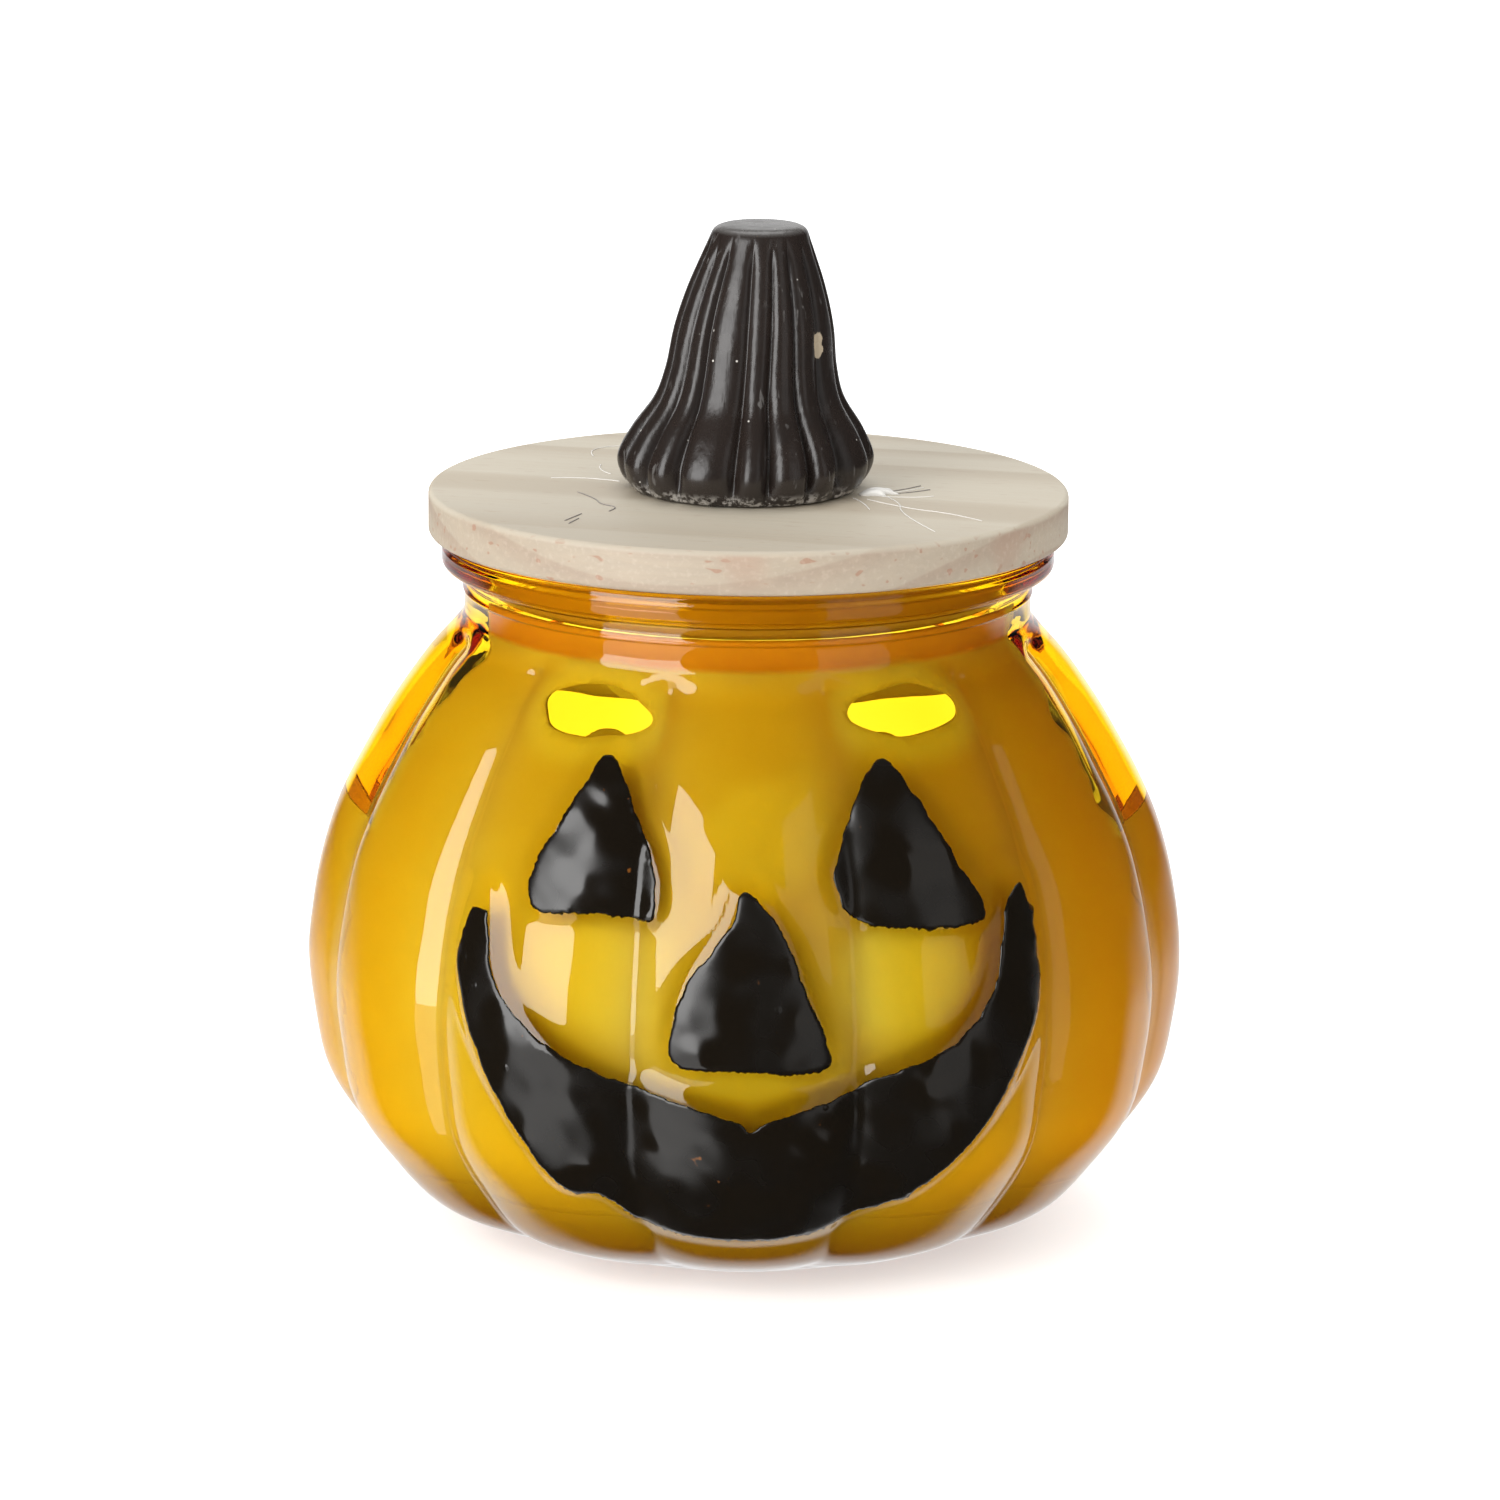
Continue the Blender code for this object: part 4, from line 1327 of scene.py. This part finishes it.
# The flat top is painted lighter: partly dust and partly a painted sheen from the light above.
dust_and_sheen = ramp(tree, height, STEM_TOP - 0.9 * MM, STEM_TOP - 0.2 * MM)
to_chip = add(tree, "ShaderNodeVectorMath", {0: place, 1: CHIP_PLACE}, operation="SUBTRACT").outputs[0]
to_chip = add(tree, "ShaderNodeVectorMath", {0: to_chip, 1: (1, 1, 0.5)}, operation="MULTIPLY").outputs[0]
away = add(tree, "ShaderNodeVectorMath", {0: to_chip}, operation="LENGTH").outputs["Value"]
away = maths(tree, "ADD", away, times(tree, noise(tree, place, 1100.0), 1.1 * MM))
chip = ramp(tree, away, 1.6 * MM, 1.5 * MM)
brown = blend(tree, lumps, (0.019, 0.013, 0.0105), (0.012, 0.0085, 0.007))
brown = blend(tree, times(tree, dust_and_sheen, 0.6), brown, (0.11, 0.105, 0.1))
brown = blend(tree, times(tree, wear, 0.3), brown, (0.2, 0.19, 0.18))
brown = blend(tree, times(tree, scuff, 0.75), brown, (0.5, 0.47, 0.43))
brown = blend(tree, times(tree, dots, 0.8), brown, (0.6, 0.57, 0.52))
brown = blend(tree, chip, brown, (0.32, 0.26, 0.18))
coloured(tree, shader, brown)
rough = ramp(tree, maths(tree, "ADD", lumps, wear), 0.35, 1.2, 0.26, 0.5)
tree.links.new(rough, shader.inputs["Roughness"])
bumped(tree, shader, maths(tree, "ADD", lumps, times(tree, brushed, 0.35)), 0.5, 0.25 * MM)
print("stem paint nodes:", len(tree.nodes))

# %% [markdown]
# ## Stem
# A pumpkin's stem flares where it meets the fruit, narrows to a waist and ends in a flat cut. It is
# turned like the jar, and the same lobing tree presses in its sixteen ribs, with uneven angles this
# time. The share fades at the cut and at the foot. Last, the whole leans a little, as stems do.

# %% The stem
STEM_RADIUS = (stem_high.y - stem_low.y) / 2
STEM_HEIGHT = STEM_TOP - STEM_BOTTOM
STEM_OUTLINE = [
    (0.3, 1.0), (0.36, 0.985), (0.405, 0.935), (0.534, 0.77), (0.62, 0.616), (0.667, 0.462),
    (0.74, 0.345), (0.9, 0.227), (1.0, 0.12), (0.965, 0.045), (0.88, 0.0),
]
HOLLOW_RADIUS, HOLLOW_TOP = 12.3 * MM, STEM_BOTTOM + 1.1 * MM
stem_side = [(r * STEM_RADIUS, STEM_BOTTOM + z * STEM_HEIGHT) for r, z in STEM_OUTLINE]
stem_outline = np.vstack([
    [(0, STEM_TOP), (0.1 * STEM_RADIUS, STEM_TOP), (0.2 * STEM_RADIUS, STEM_TOP)],
    even_steps(curve_through(stem_side, 16), 0.4 * MM),
    [(HOLLOW_RADIUS, STEM_BOTTOM), (HOLLOW_RADIUS, HOLLOW_TOP), (0, HOLLOW_TOP)],
])
rise = (stem_outline[:, 1] - STEM_BOTTOM) / STEM_HEIGHT
shares = ease(rise, -0.03, 0.1) * (1 - ease(rise, 0.86, 0.99)) * (1 - 0.35 * ease(rise, 0.2, 0.5))
shares[-3:] = 0
stem = turned("stem_cast", stem_outline, even_angles(384), shares)
run_tree(stem, press_lobes, {
    "Lobes": 16.0, "Depth": 0.14, "Sharpness": 2.8, "Crease": 0.07, "Wander": 0.5, "Seed": 3.0,
    "Material": stem_paint,
})
points = get_points(stem)
rise = (points[:, 2] - STEM_BOTTOM) / STEM_HEIGHT
points[:, 0] += -0.6 * MM * (1 - rise) ** 2 + 1.3 * MM * rise ** 1.5
set_points(stem, points)
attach(stem, "lid")
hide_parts("stem_knob")
print("stem is", round(STEM_HEIGHT / MM, 1), "mm tall")

# %% [markdown]
# ## Glue pad and blob
# The stem is stuck down with hot glue, and some of it shows: a pad in the hollow under the foot and
# a blob pressed out at the right. Both are turned outlines, and waves push the blob out of round.
# Hot glue is milky and shiny, so its noise is soft and its roughness low.

# %% Glue pad and blob
hot_melt, tree, shader = new_material("hot_melt", Roughness=0.25)
milk = noise(tree, object_place(tree), 500.0)
coloured(tree, shader, blend(tree, milk, (0.72, 0.7, 0.66), (0.55, 0.53, 0.49)))
bumped(tree, shader, milk, 0.3, 0.2 * MM)
glue_low, glue_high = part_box("glue_pad")
glue_radius = (glue_high.x - glue_low.x) / 2
pad_outline = [
    (0, glue_high.z), (glue_radius * 0.6, glue_high.z),
    (glue_radius - 0.4 * MM, glue_high.z - 0.1 * MM), (glue_radius, (glue_low.z + glue_high.z) / 2),
    (glue_radius - 0.4 * MM, glue_low.z + 0.05 * MM), (0, glue_low.z),
]
pad = turned("glue_under_stem", pad_outline, even_angles(96))
pad.data.materials.append(hot_melt)
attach(pad, "lid")
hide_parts("glue_pad")
BLOB_RADIUS, BLOB_HEIGHT = 2.6 * MM, 0.8 * MM
BLOB_PLACE = (17.4 * MM, -4.0 * MM, LID_TOP)
steps = np.linspace(0, math.pi / 2, 6)
dome = [(math.sin(t), math.cos(t)) for t in steps] + [(0.9, -0.06), (0, -0.06)]
blob_outline = [(r * BLOB_RADIUS, z * BLOB_HEIGHT) for r, z in dome]
blob = turned("glue_blob", blob_outline, even_angles(48))
points = get_points(blob)
points[:, :2] *= (1 + 0.3 * ripples(points, 2.2 * MM, 31))[:, None]
set_points(blob, points * (1.0, 0.6, 1.0) + BLOB_PLACE)
blob.data.materials.append(hot_melt)
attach(blob, "lid")
print("glue pad radius", round(glue_radius / MM, 1), "mm")

# %% [markdown]
# ## Threads and marks
# A glue gun pulled away draws out fine threads, which settle on the wood. Beside them are a few short
# dark strokes, as a pencil leaves when the middle is marked out. Both are long, thin and round, so
# a bevelled curve guided by a few points draws them, and it is then turned into a mesh.

# %% Threads and marks
graphite, tree, shader = new_material("pencil_mark", Roughness=0.5)
flecked = noise(tree, object_place(tree), 900.0)
coloured(tree, shader, blend(tree, flecked, (0.12, 0.11, 0.11), (0.3, 0.27, 0.24)))
SUNK = 0.6


def threads(name, paths, radius, finish):
    """Fine round threads on the lid, guided by (x, y) points in millimetres."""
    curve = bpy.data.curves.new(name, "CURVE")
    curve.dimensions = "3D"
    curve.bevel_depth = radius
    curve.bevel_resolution = 2
    curve.use_fill_caps = True
    for path in paths:
        spline = curve.splines.new("NURBS")
        spline.points.add(len(path) - 1)
        spline.order_u = 3
        spline.use_endpoint_u = True
        for point, (x, y) in zip(spline.points, path):
            point.co = (x * MM, y * MM, LID_TOP + radius * SUNK, 1)
    drawn = bpy.data.objects.new(name, curve)
    bpy.context.scene.collection.objects.link(drawn)
    graph = bpy.context.evaluated_depsgraph_get()
    mesh = bpy.data.meshes.new_from_object(drawn.evaluated_get(graph))
    bpy.data.objects.remove(drawn)
    made = bpy.data.objects.new(name, mesh)
    bpy.context.scene.collection.objects.link(made)
    mesh.materials.clear()
    mesh.materials.append(finish)
    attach(made, "lid")
    return made


strings = threads("glue_threads", [
    [(14.1, -7.3), (15.6, -10), (16.2, -14.9)], [(16.9, -2.7), (20.6, -9), (20.1, -17.6), (24.6, -29.4)],
    [(17, -4), (21, -3), (23.8, 0.5)], [(18, -6), (22.5, -7), (25, -5.5)],
    [(16, -8), (21, -14), (27, -17), (31, -22)],
    [(-21.6, 20.8), (-22.5, 25), (-19.6, 28.6), (-17.5, 28.6)], [(-20.4, 14.9), (-21, 11), (-18.9, 8.2)],
    [(-17.6, 3), (-22, 6), (-27, 5)],
], 0.07 * MM, hot_melt)
marks = threads("pencil_marks", [
    [(-23.1, -4.7), (-20.5, -9), (-19.9, -13), (-17.1, -14.9), (-18.6, -17.6)],
    [(-24.3, -24.2), (-22.2, -19.5)], [(-23.7, -26), (-22.5, -22.6)], [(18.4, -3), (20.4, -2), (23.4, 1.6)],
    [(18.2, -4.5), (22, -3.4), (24.6, -1)],
], 0.08 * MM, graphite)
print("threads have", len(strings.data.polygons), "faces, marks have", len(marks.data.polygons))
